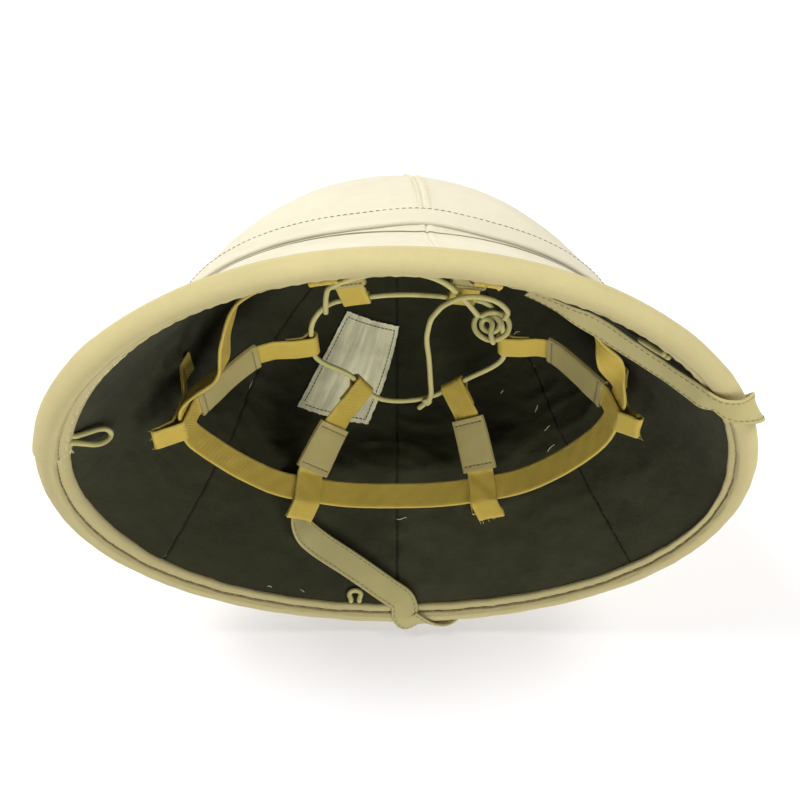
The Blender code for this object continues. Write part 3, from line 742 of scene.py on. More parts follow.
def loose_thread(start, way, out, length, chance):
    """A thin curling end of thread that leaves the cloth at a place."""
    across = np.cross(unit(np.array(way)), unit(np.array(out)))
    bend = chance.uniform(-0.6, 0.6)
    curl = chance.uniform(0.2, 0.7)
    path = []
    for share in np.linspace(0.0, 1.0, 7):
        side = across * length * (bend * share ** 2 + 0.12 * math.sin(share * 7.0 * curl))
        rise = out * length * curl * 0.35 * math.sin(share * 2.6)
        path.append(start + way * length * share + side + rise)
    return path


def frayed_edge(places, outs, way, count, length, chance):
    """Loose threads at uneven places along an edge."""
    made = []
    for _ in range(count):
        at = chance.randrange(len(places))
        lean = unit(np.array(way) + np.array([chance.uniform(-0.5, 0.5) for _ in range(3)]))
        made.append(loose_thread(places[at], lean, outs[at], length * chance.uniform(0.4, 1.0), chance))
    return made


# Looks


class Value:
    """A shader socket that takes part in sums."""

    def __init__(self, look, socket):
        self.look = look
        self.socket = socket

    def math(self, operation, *others):
        inputs = dict(enumerate((self, *others)))
        return self.look.add("ShaderNodeMath", {"operation": operation}, inputs)

    def __add__(self, other):
        return self.math("ADD", other)

    __radd__ = __add__

    def __sub__(self, other):
        return self.math("SUBTRACT", other)

    def __mul__(self, other):
        return self.math("MULTIPLY", other)

    def above(self, low, high):
        """0 under low, 1 over high, smooth between."""
        settings = {"interpolation_type": "SMOOTHSTEP"}
        inputs = {"Value": self, "From Min": low, "From Max": high}
        return self.look.add("ShaderNodeMapRange", settings, inputs)


class Look:
    """A procedural material and the ways its nodes are added."""

    def __init__(self, name, roughness, sheen=0.0):
        self.made = bpy.data.materials.new(name)
        self.made.use_nodes = True
        self.tree = self.made.node_tree
        self.shader = self.tree.nodes["Principled BSDF"]
        self.shader.inputs["Roughness"].default_value = roughness
        self.shader.inputs["Specular IOR Level"].default_value = 0.25
        self.shader.inputs["Sheen Weight"].default_value = sheen
        self.shader.inputs["Sheen Roughness"].default_value = 0.5

    def add(self, kind, settings=None, inputs=None, output=0):
        node = self.tree.nodes.new(kind)
        for key, value in (settings or {}).items():
            setattr(node, key, value)
        for key, value in (inputs or {}).items():
            if isinstance(value, Value):
                self.tree.links.new(value.socket, node.inputs[key])
            else:
                node.inputs[key].default_value = value
        return Value(self, node.outputs[output])

    def cloth(self):
        """Across and along coordinates of the cloth, in mm, and the place in space."""
        spot = self.add("ShaderNodeUVMap", {"uv_map": "cloth"})
        parts = self.add("ShaderNodeSeparateXYZ", None, {0: spot})
        return parts, Value(self, parts.socket.node.outputs[1]), self.place()

    def place(self):
        return self.add("ShaderNodeTexCoord", output="Object")

    def noise(self, spot, scale, detail=3.0, rough=0.55):
        inputs = {"Vector": spot, "Scale": scale, "Detail": detail, "Roughness": rough}
        return self.add("ShaderNodeTexNoise", None, inputs)

    def ribs(self, value, pitch):
        """Waves between -1 and 1, a pitch apart."""
        return (value * (math.tau / pitch)).math("SINE")

    def weave(self, across, along, pitch, pitch_along=None):
        return self.ribs(across, pitch) * self.ribs(along, pitch_along or pitch)

    def drawn(self, across, along):
        """A place on the cloth whose noise is drawn out along or across it."""
        return self.add("ShaderNodeCombineXYZ", None, {0: across, 1: along, 2: 0.0})

    def mix(self, factor, first, second):
        inputs = {0: factor, 6: first, 7: second}
        return self.add("ShaderNodeMix", {"data_type": "RGBA"}, inputs, 2)

    def tint(self, colour, amount):
        """A colour made lighter or darker by an amount around 1."""
        grey = self.add("ShaderNodeCombineXYZ", None, {0: amount, 1: amount, 2: amount})
        return self.add("ShaderNodeVectorMath", {"operation": "MULTIPLY"}, {0: colour, 1: grey})

    def relief(self, height, distance, strength):
        inputs = {"Height": height, "Distance": distance, "Strength": strength}
        return self.add("ShaderNodeBump", None, inputs)

    def done(self, colour, normal=None):
        self.tree.links.new(colour.socket, self.shader.inputs["Base Color"])
        if normal is not None:
            self.tree.links.new(normal.socket, self.shader.inputs["Normal"])
        return self.made


def shade(colour, factor):
    """A darker colour, with the alpha that a mix asks for."""
    return tuple(part * factor for part in colour) + (1.0,)


def twill_cloth(name, colour, roughness, sheen, pitch=0.55, soil=0.10, nap=0.03):
    """Cotton drill: diagonal twill lines, slubs, uneven dye and a little soil."""
    look = Look(name, roughness, sheen)
    across, along, spot = look.cloth()
    diagonal = look.ribs(across + along * 0.85, pitch)
    weave = diagonal * 0.5 + look.weave(across, along, pitch / 1.7) * 0.35
    broad = look.noise(spot, 22.0, 4.0)
    spots = look.noise(spot, 160.0, 5.0, 0.65)
    slub = look.noise(look.drawn(across * 0.12, along * 2.4), 1.0, 3.0)
    amount = 1.0 + weave * nap + (broad - 0.5) * 0.22 + (spots - 0.5) * 0.10 + (slub - 0.5) * 0.10
    base = look.tint(colour, amount)
    dirt = look.noise(spot, 9.0, 5.0, 0.6).above(0.52, 0.75) * soil
    tone = look.mix(dirt, base, shade(colour, 0.62))
    height = weave * 0.5 + (slub - 0.5) * 0.9 + (spots - 0.5) * 0.8
    return look.done(tone, look.relief(height, 0.00016, 0.7))


def webbing_cloth(name, colour):
    """Woven tape: fine diagonal ribs between paler selvedges."""
    look = Look(name, 0.72, 0.03)
    across, along, spot = look.cloth()
    from_middle = (across - 0.5 * WEBBING_WIDTH).math("ABSOLUTE")
    edge = from_middle.above(0.40 * WEBBING_WIDTH, 0.45 * WEBBING_WIDTH)
    rib = look.ribs(across * 0.8 + along, 1.05)
    fine = look.weave(across, along, 0.62, 0.55)
    broad = look.noise(spot, 40.0, 4.0)
    spots = look.noise(spot, 420.0, 4.0, 0.6)
    amount = 1.0 + rib * 0.07 + fine * 0.05 + (broad - 0.5) * 0.30 + (spots - 0.5) * 0.16
    base = look.tint(colour, amount)
    paler = (colour[0] * 1.15, colour[1] * 1.25, colour[2] * 1.9, 1.0)
    tone = look.mix(edge * 0.35, base, paler)
    wear = look.noise(spot, 95.0, 5.0, 0.7).above(0.60, 0.78) * 0.35
    tone = look.mix(wear, tone, shade(colour, 0.66))
    height = rib * 0.6 + fine * 0.5 + (spots - 0.5) * 0.5
    return look.done(tone, look.relief(height, 0.00022, 0.8))


def lining_look(name, colour):
    """Plain-woven olive lining with creases, lint, dusty patches and painted light and shade of its soft
    folds.
    """
    look = Look(name, 0.86, 0.03)
    across, along, spot = look.cloth()
    weave = look.weave(across, along, 0.7)
    # These two broad noises lighten and darken the lining in soft patches: painted light and shade of
    # its folds.
    broad = look.noise(spot, 14.0, 5.0, 0.6)
    painted_fold_shade = look.noise(spot, 48.0, 4.0, 0.6)
    lint = look.noise(spot, 900.0, 2.0, 0.5)
    amount = 1.0 + weave * 0.06 + (broad - 0.5) * 0.85 + (painted_fold_shade - 0.5) * 0.6 + (lint - 0.5) * 0.35
    base = look.tint(colour, amount)
    dust = look.noise(spot, 7.0, 6.0, 0.65).above(0.5, 0.72) * 0.22
    tone = look.mix(dust, base, (0.10, 0.095, 0.06, 1.0))
    crease = look.noise(spot, 60.0, 3.0, 0.5)
    height = weave * 0.12 + (crease - 0.5) * 4.0 + (lint - 0.5) * 0.25
    return look.done(tone, look.relief(height, 0.0009, 0.8))


def cord_look(name, colour):
    """Braided cotton cord, its colour darker in the dips between its strands as painted shade."""
    look = Look(name, 0.8, 0.04)
    across, along, spot = look.cloth()
    turn = across * (0.5 * BRAID_STRANDS / CORD_RADIUS)
    wind = along * (2.0 * math.tau / BRAID_PITCH)
    left = (turn + wind).math("COSINE").math("ABSOLUTE")
    right = (turn - wind).math("COSINE").math("ABSOLUTE")
    braid = left.math("MAXIMUM", right)
    fibre = look.noise(spot, 1400.0, 3.0)
    broad = look.noise(spot, 35.0, 4.0)
    # The dips between the strands are darkened in colour: painted shade.
    amount = 0.74 + braid * 0.26 + (fibre - 0.5) * 0.25 + (broad - 0.5) * 0.3
    tone = look.tint(colour, amount)
    height = braid + (fibre - 0.5) * 0.6
    return look.done(tone, look.relief(height, 0.0002, 0.8))


def label_look(name, colour):
    """Thin satin label cloth with fine threads, creases, yellowed patches and painted lengthwise bands
    of satin sheen.
    """
    look = Look(name, 0.38, 0.04)
    across, along, spot = look.cloth()
    threads_across = look.ribs(along, 0.45)
    broad = look.noise(spot, 45.0, 4.0, 0.6)
    stain = look.noise(spot, 80.0, 5.0, 0.65).above(0.45, 0.75)
    # Lengthwise bands made lighter and darker across the label: painted satin sheen.
    painted_sheen_bands = look.noise(look.drawn(across * 0.30, along * 0.03), 1.0, 2.0)
    amount = 1.0 + threads_across * 0.03 + (broad - 0.5) * 0.35 + (painted_sheen_bands - 0.5) * 0.8
    base = look.tint(colour, amount)
    tone = look.mix(stain * 0.35, base, (0.56, 0.49, 0.28, 1.0))
    crease = look.noise(spot, 150.0, 4.0)
    height = threads_across * 0.2 + (crease - 0.5) * 1.6
    return look.done(tone, look.relief(height, 0.0003, 0.6))


def pith_look(name, colour):
    """Pale porous board."""
    look = Look(name, 0.95)
    spot = look.place()
    cells = look.noise(spot, 260.0, 4.0, 0.7)
    broad = look.noise(spot, 30.0, 3.0)
    tone = look.tint(colour, 0.8 + cells * 0.3 + (broad - 0.5) * 0.2)
    return look.done(tone, look.relief(cells, 0.0006, 0.8))


def thread_look(name, colour):
    look = Look(name, 0.8)
    spot = look.place()
    tone = look.tint(colour, 0.85 + look.noise(spot, 900.0, 2.0) * 0.3)
    return look.done(tone)


LOOKS = {
    "cover": twill_cloth("cover_drill", (0.585, 0.55, 0.425), 0.92, 0.04),
    "roll": twill_cloth("rim_drill", (0.465, 0.405, 0.20), 0.90, 0.04),
    "lining": lining_look("olive_lining", (0.027, 0.028, 0.0115)),
    "webbing": webbing_cloth("gold_webbing", (0.57, 0.42, 0.072)),
    "sleeve": twill_cloth("sleeve_cotton", (0.36, 0.305, 0.12), 0.9, 0.04, 0.7, 0.25, 0.08),
    "cord": cord_look("braided_cord", (0.50, 0.46, 0.19)),
    "label": label_look("label_satin", (0.93, 0.90, 0.60)),
    "chin": twill_cloth("chin_strap_drill", (0.42, 0.37, 0.165), 0.9, 0.04, 0.6, 0.2, 0.06),
    "pith": pith_look("pith_board", (0.62, 0.53, 0.36)),
    "pale": thread_look("pale_thread", (0.66, 0.60, 0.38)),
    "gold_thread": thread_look("gold_thread", (0.60, 0.47, 0.14)),
    "dark": thread_look("dark_thread", (0.02, 0.02, 0.012)),
    "brown": thread_look("seam_shadow_thread", (0.22, 0.18, 0.09)),
}


# Camera and cords


CAMERA_LENS = 76.5
CAMERA_PLACE = (0.001712, -0.03519, 0.93886)
CAMERA_TILT = 2.568


def add_camera():
    """Overhead camera at the photograph's angle."""
    data = bpy.data.cameras.new("camera")
    data.lens = CAMERA_LENS
    data.sensor_width = 36.0
    data.clip_start = 0.05
    camera = bpy.data.objects.new("camera", data)
    bpy.context.collection.objects.link(camera)
    camera.location = CAMERA_PLACE
    camera.rotation_euler = (math.radians(CAMERA_TILT), 0.0, 0.0)
    bpy.context.scene.camera = camera


def strap_plane(place):
    """Where a strap hangs on the drawcord: the cord's middle, the strap's way, up and across."""
    loop_place, bend = STRAPS[place][:2]
    loop = np.array((*loop_place, RING_HEIGHT))
    away = unit(np.array(bend) - loop)
    across = unit(np.cross(away, UP))
    return loop, away, np.cross(across, away), across


def headband_frame(index):
    """Middle, outward face and downward edge direction of the headband at one of its points."""
    places = [np.array(row[:3]) for row in HEADBAND]
    ahead = unit(places[(index + 1) % len(places)] - places[index - 1])
    outward = unit(np.cross(ahead, UP))
    flare = math.radians(HEADBAND_FLARE)
    face = outward * math.cos(flare) + UP * math.sin(flare)
    edge = outward * math.sin(flare) - UP * math.cos(flare)
    return places[index], face, edge


def stopper_knot():
    """Cord wound into the stopper knot on the ring, its end hanging over the coil."""
    middle = np.array(KNOT_PLACE)
    path = []
    for right, up, out in KNOT_TURNS:
        path.append(middle + right * VIEW_RIGHT + up * VIEW_UP + out * VIEW_OUT)
    return smooth_curve(path, 5)


TREFOIL_STEPS = 48


def overhand_knot(place, way, size):
    """Small trefoil of cord tied round a cord."""
    ahead = unit(np.array(way))
    first = unit(np.cross(ahead, np.array((0.2, 0.1, 1.0))))
    second = np.cross(ahead, first)
    path = []
    for step in range(TREFOIL_STEPS):
        turn = math.tau * step / TREFOIL_STEPS
        x = math.sin(turn) + 2.0 * math.sin(2.0 * turn)
        y = math.cos(turn) - 2.0 * math.cos(2.0 * turn)
        z = -math.sin(3.0 * turn)
        path.append(np.array(place) + (first * x + second * y) * size * 0.4 + ahead * z * size)
    return path


END_KNOT_SIZE = 1.3
END_KNOT_CORD = 1.1


def build_cords():
    """The drawcord: its ring through the straps, the strand across, the tail and the knots."""
    knots = []
    straight = []
    for place in STRAPS:
        loop, _, _, across = strap_plane(place)
        level = unit(np.array((across[0], across[1], 0.0)))
        if float(level @ np.array((-loop[1], loop[0], 0.0))) < 0.0:
            level = -level
        straight.append(len(knots))
        reach = level * 0.55 * WEBBING_WIDTH
        knots += [loop - reach, loop + reach]
    ring = smooth_curve(knots, 8, True, straight)
    cord_piece("ring_cord", ring, ("drawcord",), True)
    cord_piece("crossing_cord", smooth_curve(STRAND, 8), ("drawcord_strand",))
    tail = smooth_curve(TAIL, 3)
    piece = cord_piece("loose_cord", tail, ("drawcord_tail",), rounds=1)
    cord_piece("stopper_knot", stopper_knot(), ("drawcord_knot",))
    end_way = np.array(TAIL[-1]) - np.array(TAIL[-2])
    end_place = np.array(TAIL[-2]) + end_way * 0.25
    knot = overhand_knot(end_place, end_way, END_KNOT_SIZE)
    end_knot = cord_piece("end_knot", knot, (), True, END_KNOT_CORD, 0)
    world = on_floor(tail)


def build_cord_loops():
    """Small loops of cord sewn on just inside the rim."""
    for place, (degrees, climb, tip, face, half_width, foot_width) in CORD_LOOPS.items():
        angle = math.radians(degrees)
        foot = brim_layer(angle, climb / float(brim_slant(angle)), ROLL_INNER + GAP + CORD_RADIUS)
        reach = np.array(tip) - foot
        side = unit(np.cross(np.array(face), reach))
        route = [foot - side * foot_width - reach * LOOP_ROOT]
        for turn, along, share in LOOP_SHAPE:
            width = foot_width if along == 0.0 else half_width * share
            route.append(foot + reach * along + side * turn * width)
        route.append(foot + side * foot_width - reach * LOOP_ROOT)
        cord_piece("sewn_loop_" + place, smooth_curve(route, 6), ("cord_loop_" + place,))


# Cover, band, hem and lining


# Stitches: pitch, length, rise
COVER_STITCH = (3.0, 2.1, 0.28)
BAND_STITCH = (3.1, 2.0, 0.22)
HEM_STITCH = (3.4, 2.6, 0.35)
LAP_STITCH = (3.0, 2.1, 0.35)
LINING_STITCH = (3.6, 2.6, 0.3)
STRAP_STITCH = (2.2, 1.6, 0.25)
SLEEVE_STITCH = (2.2, 1.5, 0.3)
CHIN_STITCH = (3.0, 2.1, 0.25)
LABEL_STITCH = (2.2, 1.6, 0.25)

SEAM_STEPS = (0.25, 0.6, 1.0, 1.6, 2.4, 3.4, 4.4)
LINING_SEAM_STEPS = (0.3, 0.8, 1.5, 2.6)
SEAM_CLEAR = 3.0
SEAM_RADIUS = 105.0


def columns_round(seams, base, near):
    """Angles round the helmet, closer together beside the seams (distances in mm near the foot)."""
    angles = set(np.round(np.arange(0.0, 360.0, base), 4))
    for seam in seams:
        angles = {angle for angle in angles if abs((angle - seam + 180.0) % 360.0 - 180.0) > SEAM_CLEAR}
        angles.add(seam % 360.0)
        for distance in near:
            swing = math.degrees(distance / SEAM_RADIUS)
            angles.add((seam + swing) % 360.0)
            angles.add((seam - swing) % 360.0)
    return np.radians(np.array(sorted(angles)))


def seam_distance(angle, grid, seam):
    """Distances in mm from a seam, along the turn of each row of a grid."""
    turn = np.linalg.norm(grid[..., :2], axis=-1)
    return np.abs(np.radians(from_angle(seam, angle))[None, :] * turn)


def seam_relief(angle, grid, seams, groove, welt, half):
    """Height of the sewn seams: a groove with a raised welt on both sides."""
    height = np.zeros(grid.shape[:2])
    for seam in seams:
        away = seam_distance(angle, grid, seam)
        height += welt * (1.0 - smooth_step(half - 0.8, half, away))
        height -= groove * np.exp(-((away / 0.45) ** 2))
    return height


def row_on(layer_at, normal_at, spots):
    """Places on a layer and the ways out of it, from angles, ways up and depths."""
    path = [layer_at(*spot) for spot in spots]
    return path, [normal_at(angle, place) for angle, place, _ in spots]


def seam_stitches(name, point_at, layer_at, normal_at, places, side, depth):
    """Stitches along both sides of the cover's seams."""
    stitches = []
    for seam in np.radians(COVER_SEAMS):
        for away in (-side, side):
            spots = []
            for place in places:
                turn = float(np.linalg.norm(point_at(seam, place)[:2]))
                spots.append((seam + away / turn, place, depth))
            stitches += stitch_paths(*row_on(layer_at, normal_at, spots), *COVER_STITCH)
    threads(name, stitches, 0.2, LOOKS["pale"], "cover_cloth")


def build_crown_cover():
    angle = columns_round(COVER_SEAMS, 2.0, SEAM_STEPS)
    along = np.concatenate((np.linspace(0.008, 0.97, 64), (0.985, 0.995, 1.0)))
    height = crown_height(along)
    outer = crown_point(angle[None, :], height[:, None])
    away = crown_normal(angle[None, :], np.minimum(height, NEAR_CROWN_TOP)[:, None])
    away[-1] = UP
    lift = 0.35 * grain(outer, 38.0, 1) + 0.12 * grain(outer, 9.0, 2) - 0.15
    lift += seam_relief(angle, outer, COVER_SEAMS, 0.7, 0.35, 3.2)
    lift *= np.clip((1.0 - along[:, None]) * 12.0, 0.0, 1.0)
    front = outer + away * lift[..., None]
    back = outer - away * COVER_THICK
    front[-1] = (0.0, 0.0, CROWN_TOP)
    back[-1] = (0.0, 0.0, CROWN_TOP - COVER_THICK)
    shell("crown_cloth", front, back, True, LOOKS["cover"], "cover_cloth", ("crown_cover",))
    heights = crown_height(np.linspace(0.12, 0.93, 60))
    seam_stitches("crown_seam_stitches", crown_point, crown_layer, crown_normal, heights, 2.3, -0.3)


def build_brim_cover():
    angle = columns_round(COVER_SEAMS, 2.0, SEAM_STEPS)
    share = np.linspace(0.0, 1.0, 34)
    outer = brim_point(angle[None, :], share[:, None])
    away = brim_normal(angle[None, :], share[:, None])
    lift = 0.3 * grain(outer, 42.0, 3) + 0.1 * grain(outer, 10.0, 4) - 0.1
    lift += seam_relief(angle, outer, COVER_SEAMS, 0.6, 0.3, 3.0)
    front = outer + away * lift[..., None]
    back = outer - away * COVER_THICK
    shell("brim_cloth", front, back, True, LOOKS["cover"], "cover_cloth", ("brim_cover",))
    shares = np.linspace(0.12, 0.97, 40)
    seam_stitches("brim_seam_stitches", brim_point, brim_layer, brim_normal, shares, 2.2, -0.25)


# Across the band from its lower edge, and how thick it is there, as shares
BAND_SECTION = (
    (0.0, 0.1), (0.01, 0.5), (0.03, 0.8), (0.07, 1.0), (0.14, 0.93), (0.28, 0.8), (0.5, 0.78),
    (0.72, 0.8), (0.86, 0.72), (0.93, 0.85), (0.97, 0.7), (0.99, 0.4), (1.0, 0.1),
)
BAND_STITCH_INSET = 2.2


def band_low(angle):
    """Lower edge of the band, which rises to a peak at one side."""
    away = from_angle(BAND_PEAK_ANGLE, angle) / BAND_PEAK_SPREAD
    return BAND_LOW + BAND_PEAK * np.exp(-away * away)


def build_band():
    """Band round the foot of the crown, its turned edges rounded."""
    angle = np.radians(np.arange(0.0, 360.0, 1.5))
    across, full = np.array(BAND_SECTION).T
    height = band_low(angle)[None, :] + across[:, None] * BAND_WIDTH
    spot = crown_point(angle[None, :], height)
    lift = GAP + (BAND_THICK + 0.35) * full[:, None] + 0.12 * grain(spot, 12.0, 5)
    front = crown_layer(angle[None, :], height, -lift)
    back = crown_layer(angle[None, :], height, -0.15)
    shell("band_cloth", front, back, True, LOOKS["cover"], "cover_cloth", ("hat_band",))
    spots = []
    for turn in np.radians(np.arange(0.0, 361.0, 1.0)):
        spots.append((turn, float(band_low(turn)) + BAND_WIDTH - BAND_STITCH_INSET, -1.25))
    stitches = stitch_paths(*row_on(crown_layer, crown_normal, spots), *BAND_STITCH)
    threads("band_stitches", stitches, 0.2, LOOKS["brown"], "cover_cloth")


def hem_reach(angle):
    """How far the hem reaches up the lining at an angle, eased between the table's rows."""
    places, values = np.array(HEM_REACH).T
    near = [np.degrees(angle) % 360.0 + shift for shift in (-6.0, -3.0, 0.0, 3.0, 6.0)]
    return sum(np.interp(degrees, places, values, period=360.0) for degrees in near) / len(near)


def lap(angle):
    """1 where one end of the hem lies over the other, 0 elsewhere."""
    degrees = np.degrees(angle) % 360.0
    begun = smooth_step(LAP_FROM - 0.15, LAP_FROM + 0.15, degrees)
    return begun * (1.0 - smooth_step(LAP_FADES, LAP_TO, degrees))


HEM_GROOVE = 2.3
PUCKERS_PER_DEGREE = 2.1
HEM_STEPS = (0.0, 0.35, 0.7, 0.85, 1.0, 1.15, 1.3, 1.65)
HEM_SHARES = (0.2, 0.4, 0.6, 0.78, 0.9, 0.97, 1.0)

# Outer part of the rim's section: way up from the rim, depth under the cover
HEM_OUTSIDE = (
    (10.0, -0.3), (10.25, -0.75), (10.0, -1.2), (8.6, -1.75), (6.6, -2.1), (4.0, -2.15), (1.6, -1.9),
)


def hem_section(angle, bump, pull):
    """Closed section of the rim: outer edge, roll, groove, hem strip and the way back."""
    slant = brim_slant(angle)
    reach = hem_reach(angle)
    over = 0.9 * lap(angle)
    outside = []
    for climb, depth in HEM_OUTSIDE:
        outside.append(brim_layer(angle, (climb + 0.3 * bump) / slant, depth - over * 0.7))
    roll = [rim_roll(angle, turn, 0.35 + over + 0.2 * bump) for turn in range(180, -1, -12)]
    inside = []
    for step in HEM_STEPS:
        away = abs(step - 1.0)
        dip = (1.7 + 0.5 * pull) * math.exp(-((away / 0.2) ** 2))
        depth = ROLL_INNER + 0.35 + over - dip
        inside.append(brim_layer(angle, (HEM_GROOVE * step + 0.25 * bump) / slant, depth))
    start = HEM_GROOVE * HEM_STEPS[-1]
    for share in HEM_SHARES:
        climb = start + (reach - start) * share
        puff = (0.8 + 0.25 * pull) * math.sin(math.pi * min(share + 0.1, 1.0))
        puff -= 1.1 * smooth_step(0.86, 1.0, share)
        depth = ROLL_INNER + over + puff + 0.1 * bump
        inside.append(brim_layer(angle, (climb + 0.2 * bump) / slant, depth))
    down = rim_axes(angle)[2]
    back = [
        brim_layer(angle, reach / slant, WALL - 0.1),
        brim_layer(angle, 0.0, WALL - 0.1) + down * 0.3,
        brim_layer(angle, 0.0, -0.2) + down * 0.3,
    ]
    return np.array(outside + roll + inside + back)


def hem_row(spots):
    """Places on the hem and the ways out of it, from angles, ways up from the rim and depths."""
    spots = [(angle, climb / float(brim_slant(angle)), depth) for angle, climb, depth in spots]
    path, outs = row_on(brim_layer, brim_normal, spots)
    return path, [-out for out in outs]


def build_hem():
    """Rolled rim with the hem inside it, its stitches and the frayed end at its joint."""
    sections = []
    for degrees in sorted({*np.arange(0.0, 360.0, 1.0), *LAP_STEPS}):
        angle = math.radians(degrees)
        spot = rim_edge(angle)
        bump = float(grain(spot, 13.0, 6)) * 1.5 + float(grain(spot, 4.5, 7)) * 0.9
        pull = math.sin(degrees * PUCKERS_PER_DEGREE + 2.0 * float(grain(spot, 20.0, 14)))
        sections.append(hem_section(angle, bump, pull))
    sections = np.array(sections)
    loft("rim_hem", sections, LOOKS["roll"], "cover_cloth", ("edge_binding",), True, smooth=55.0)
    spots = []
    for angle in np.radians(np.arange(0.0, 361.0, 1.0)):
        spots.append((angle, HEM_GROOVE, ROLL_INNER - 0.9 + 0.9 * float(lap(angle))))
    stitches = stitch_paths(*hem_row(spots), *HEM_STITCH)
    threads("hem_stitches", stitches, 0.42, LOOKS["brown"], "cover_cloth")
    spots = []
    for index, angle in enumerate(np.radians(np.arange(LAP_FROM + 1.0, LAP_SEWN_TO, 0.55))):
        climb = 0.52 * float(hem_reach(angle)) + (0.8 if index % 2 else -0.8)
        spots.append((angle, climb, ROLL_INNER + 1.35))
    stitches = stitch_paths(*hem_row(spots), *LAP_STITCH)
    threads("lap_stitches", stitches, 0.26, LOOKS["pale"], "cover_cloth")
    angle = math.radians(LAP_FROM - 0.1)
    climbs = np.linspace(0.0, float(hem_reach(angle)), 30)
    joint, outs = hem_row([(angle, climb, ROLL_INNER + 1.0) for climb in climbs])
    along = unit(rim_edge(angle + 0.02) - rim_edge(angle)) * -1.0
    frays = frayed_edge(joint, outs, along, 26, 3.0, random.Random(31))
    threads("frayed_joint", frays, 0.14, LOOKS["pale"], "cover_cloth")


LINING_FILLET = 0.09
FOLD_HEIGHT = 66.0
FOLD_SPREAD = 22.0
LINING_THREADS = (
    # angle, height, length
    (46.0, 76.0, 11.0),
    (44.5, 71.0, 8.0),
    (43.5, 65.0, 12.0),
    (42.0, 60.5, 9.0),
    (45.0, 66.0, 7.0),
    (43.0, 58.0, 6.0),
    (90.0, 39.5, 5.0),
    (115.5, 6.5, 2.2),
    (109.5, 8.0, 2.4),
    (70.5, 3.5, 2.6),
    (37.5, 116.0, 3.5),
    (55.5, 92.0, 3.0),
)


def lining_grid(angle):
    """The lining's places from the rim to the top of the crown, and the ways in from them."""
    share = np.linspace(0.02, 1.0 - LINING_FILLET, 34)[:, None]
    climb = np.concatenate((np.linspace(LINING_FILLET * 0.55, 0.975, 66), (0.99, 1.0)))[:, None]
    low = brim_layer(angle, share, WALL)
    high = crown_layer(angle, np.minimum(crown_height(climb), NEAR_CROWN_TOP), WALL)
    high[-1] = (0.0, 0.0, CROWN_TOP - WALL)
    corner = foot_layer(angle[0], WALL)
    bend = []
    for part in np.linspace(0.0, 1.0, 10)[1:-1]:
        rest = 1.0 - part
        bend.append(low[-1] * rest ** 2 + corner * 2.0 * part * rest + high[0] * part ** 2)
    grid = np.concatenate((low, np.array(bend), high))
    turn = np.roll(grid, -1, axis=1) - np.roll(grid, 1, axis=1)
    rise = np.empty_like(grid)
    rise[1:-1] = grid[2:] - grid[:-2]
    rise[0], rise[-1] = grid[1] - grid[0], grid[-1] - grid[-2]
    cross = np.cross(turn, rise)
    inward = -cross / np.maximum(np.linalg.norm(cross, axis=-1, keepdims=True), 1e-9)
    inward[-2:] = -UP
    return grid, inward


def lining_lift(angle, grid):
    """How far the folds and the puckered seams of the lining stand off the wall."""
    fold_zone = np.exp(-(((grid[..., 2] - FOLD_HEIGHT) / FOLD_SPREAD) ** 2))
    stretched = grid * np.array((1.0, 1.0, 2.6))
    folds = np.abs(grain(stretched, 26.0, 8))
    wrinkles = np.abs(grain(stretched, 11.0, 9))
    ridges = np.clip(1.0 - 4.0 * np.abs(grain(stretched, 34.0, 15)), 0.0, 1.0)
    lift = 0.2 + 1.7 * folds * (0.35 + fold_zone) + 0.7 * wrinkles * (0.3 + 0.7 * fold_zone)
    lift += 1.7 * ridges * (0.25 + 0.75 * fold_zone)
    lift += 0.25 * grain(grid, 5.0, 10)
    puckers = np.sin(np.linspace(0.0, 150.0, len(grid)))[:, None]
    for seam in LINING_SEAMS:
        lift += 0.22 * np.exp(-((seam_distance(angle, grid, seam) / 6.0) ** 2)) * puckers
    lift += seam_relief(angle, grid, LINING_SEAMS, 1.3, 0.0, 3.0)
    rows = np.arange(len(grid))
    lift *= smooth_step(0.0, 3.0, rows)[:, None]
    return lift * np.clip(rows[::-1] / 6.0, 0.0, 1.0)[:, None]


def build_lining():
    """Loose lining of the brim and crown, its creases deepest half-way up."""
    angle = columns_round(LINING_SEAMS, 1.25, LINING_SEAM_STEPS)
    grid, inward = lining_grid(angle[None, :])
    front = grid + inward * lining_lift(angle, grid)[..., None]
    back = grid - inward * LINING_THICK
    front[-1], back[-1] = grid[-1], grid[-1] + UP * LINING_THICK
    shell("lining_cloth", front, back, True, LOOKS["lining"], "lining_cloth", ("lining",), smooth=60.0)
    stitches = []
    rows = slice(3, len(grid) - 8)
    for seam in LINING_SEAMS:
        column = int(np.argmin(np.abs(from_angle(seam, angle))))
        path = grid[rows, column] + inward[rows, column] * 0.1
        stitches += stitch_paths(path, inward[rows, column], *LINING_STITCH)
    threads("lining_seam_stitches", stitches, 0.2, LOOKS["dark"], "lining_cloth")


def build_lining_threads():
    """Pale ends of thread that hang loose on the lining."""
    chance = random.Random(47)
    ends = []
    for degrees, height, length in LINING_THREADS:
        angle = math.radians(degrees)
        start = lining_point(angle, height, 0.6)
        out = -unit(start * np.array((1.0, 1.0, 0.0)))
        turn = chance.uniform(0.0, math.tau)
        way = lining_across(angle, height) * math.cos(turn) + UP * math.sin(turn)
        ends.append(loose_thread(start, way, out, length, chance))
    threads("lining_thread_ends", ends, 0.2, LOOKS["pale"], "lining_cloth")


# Harness


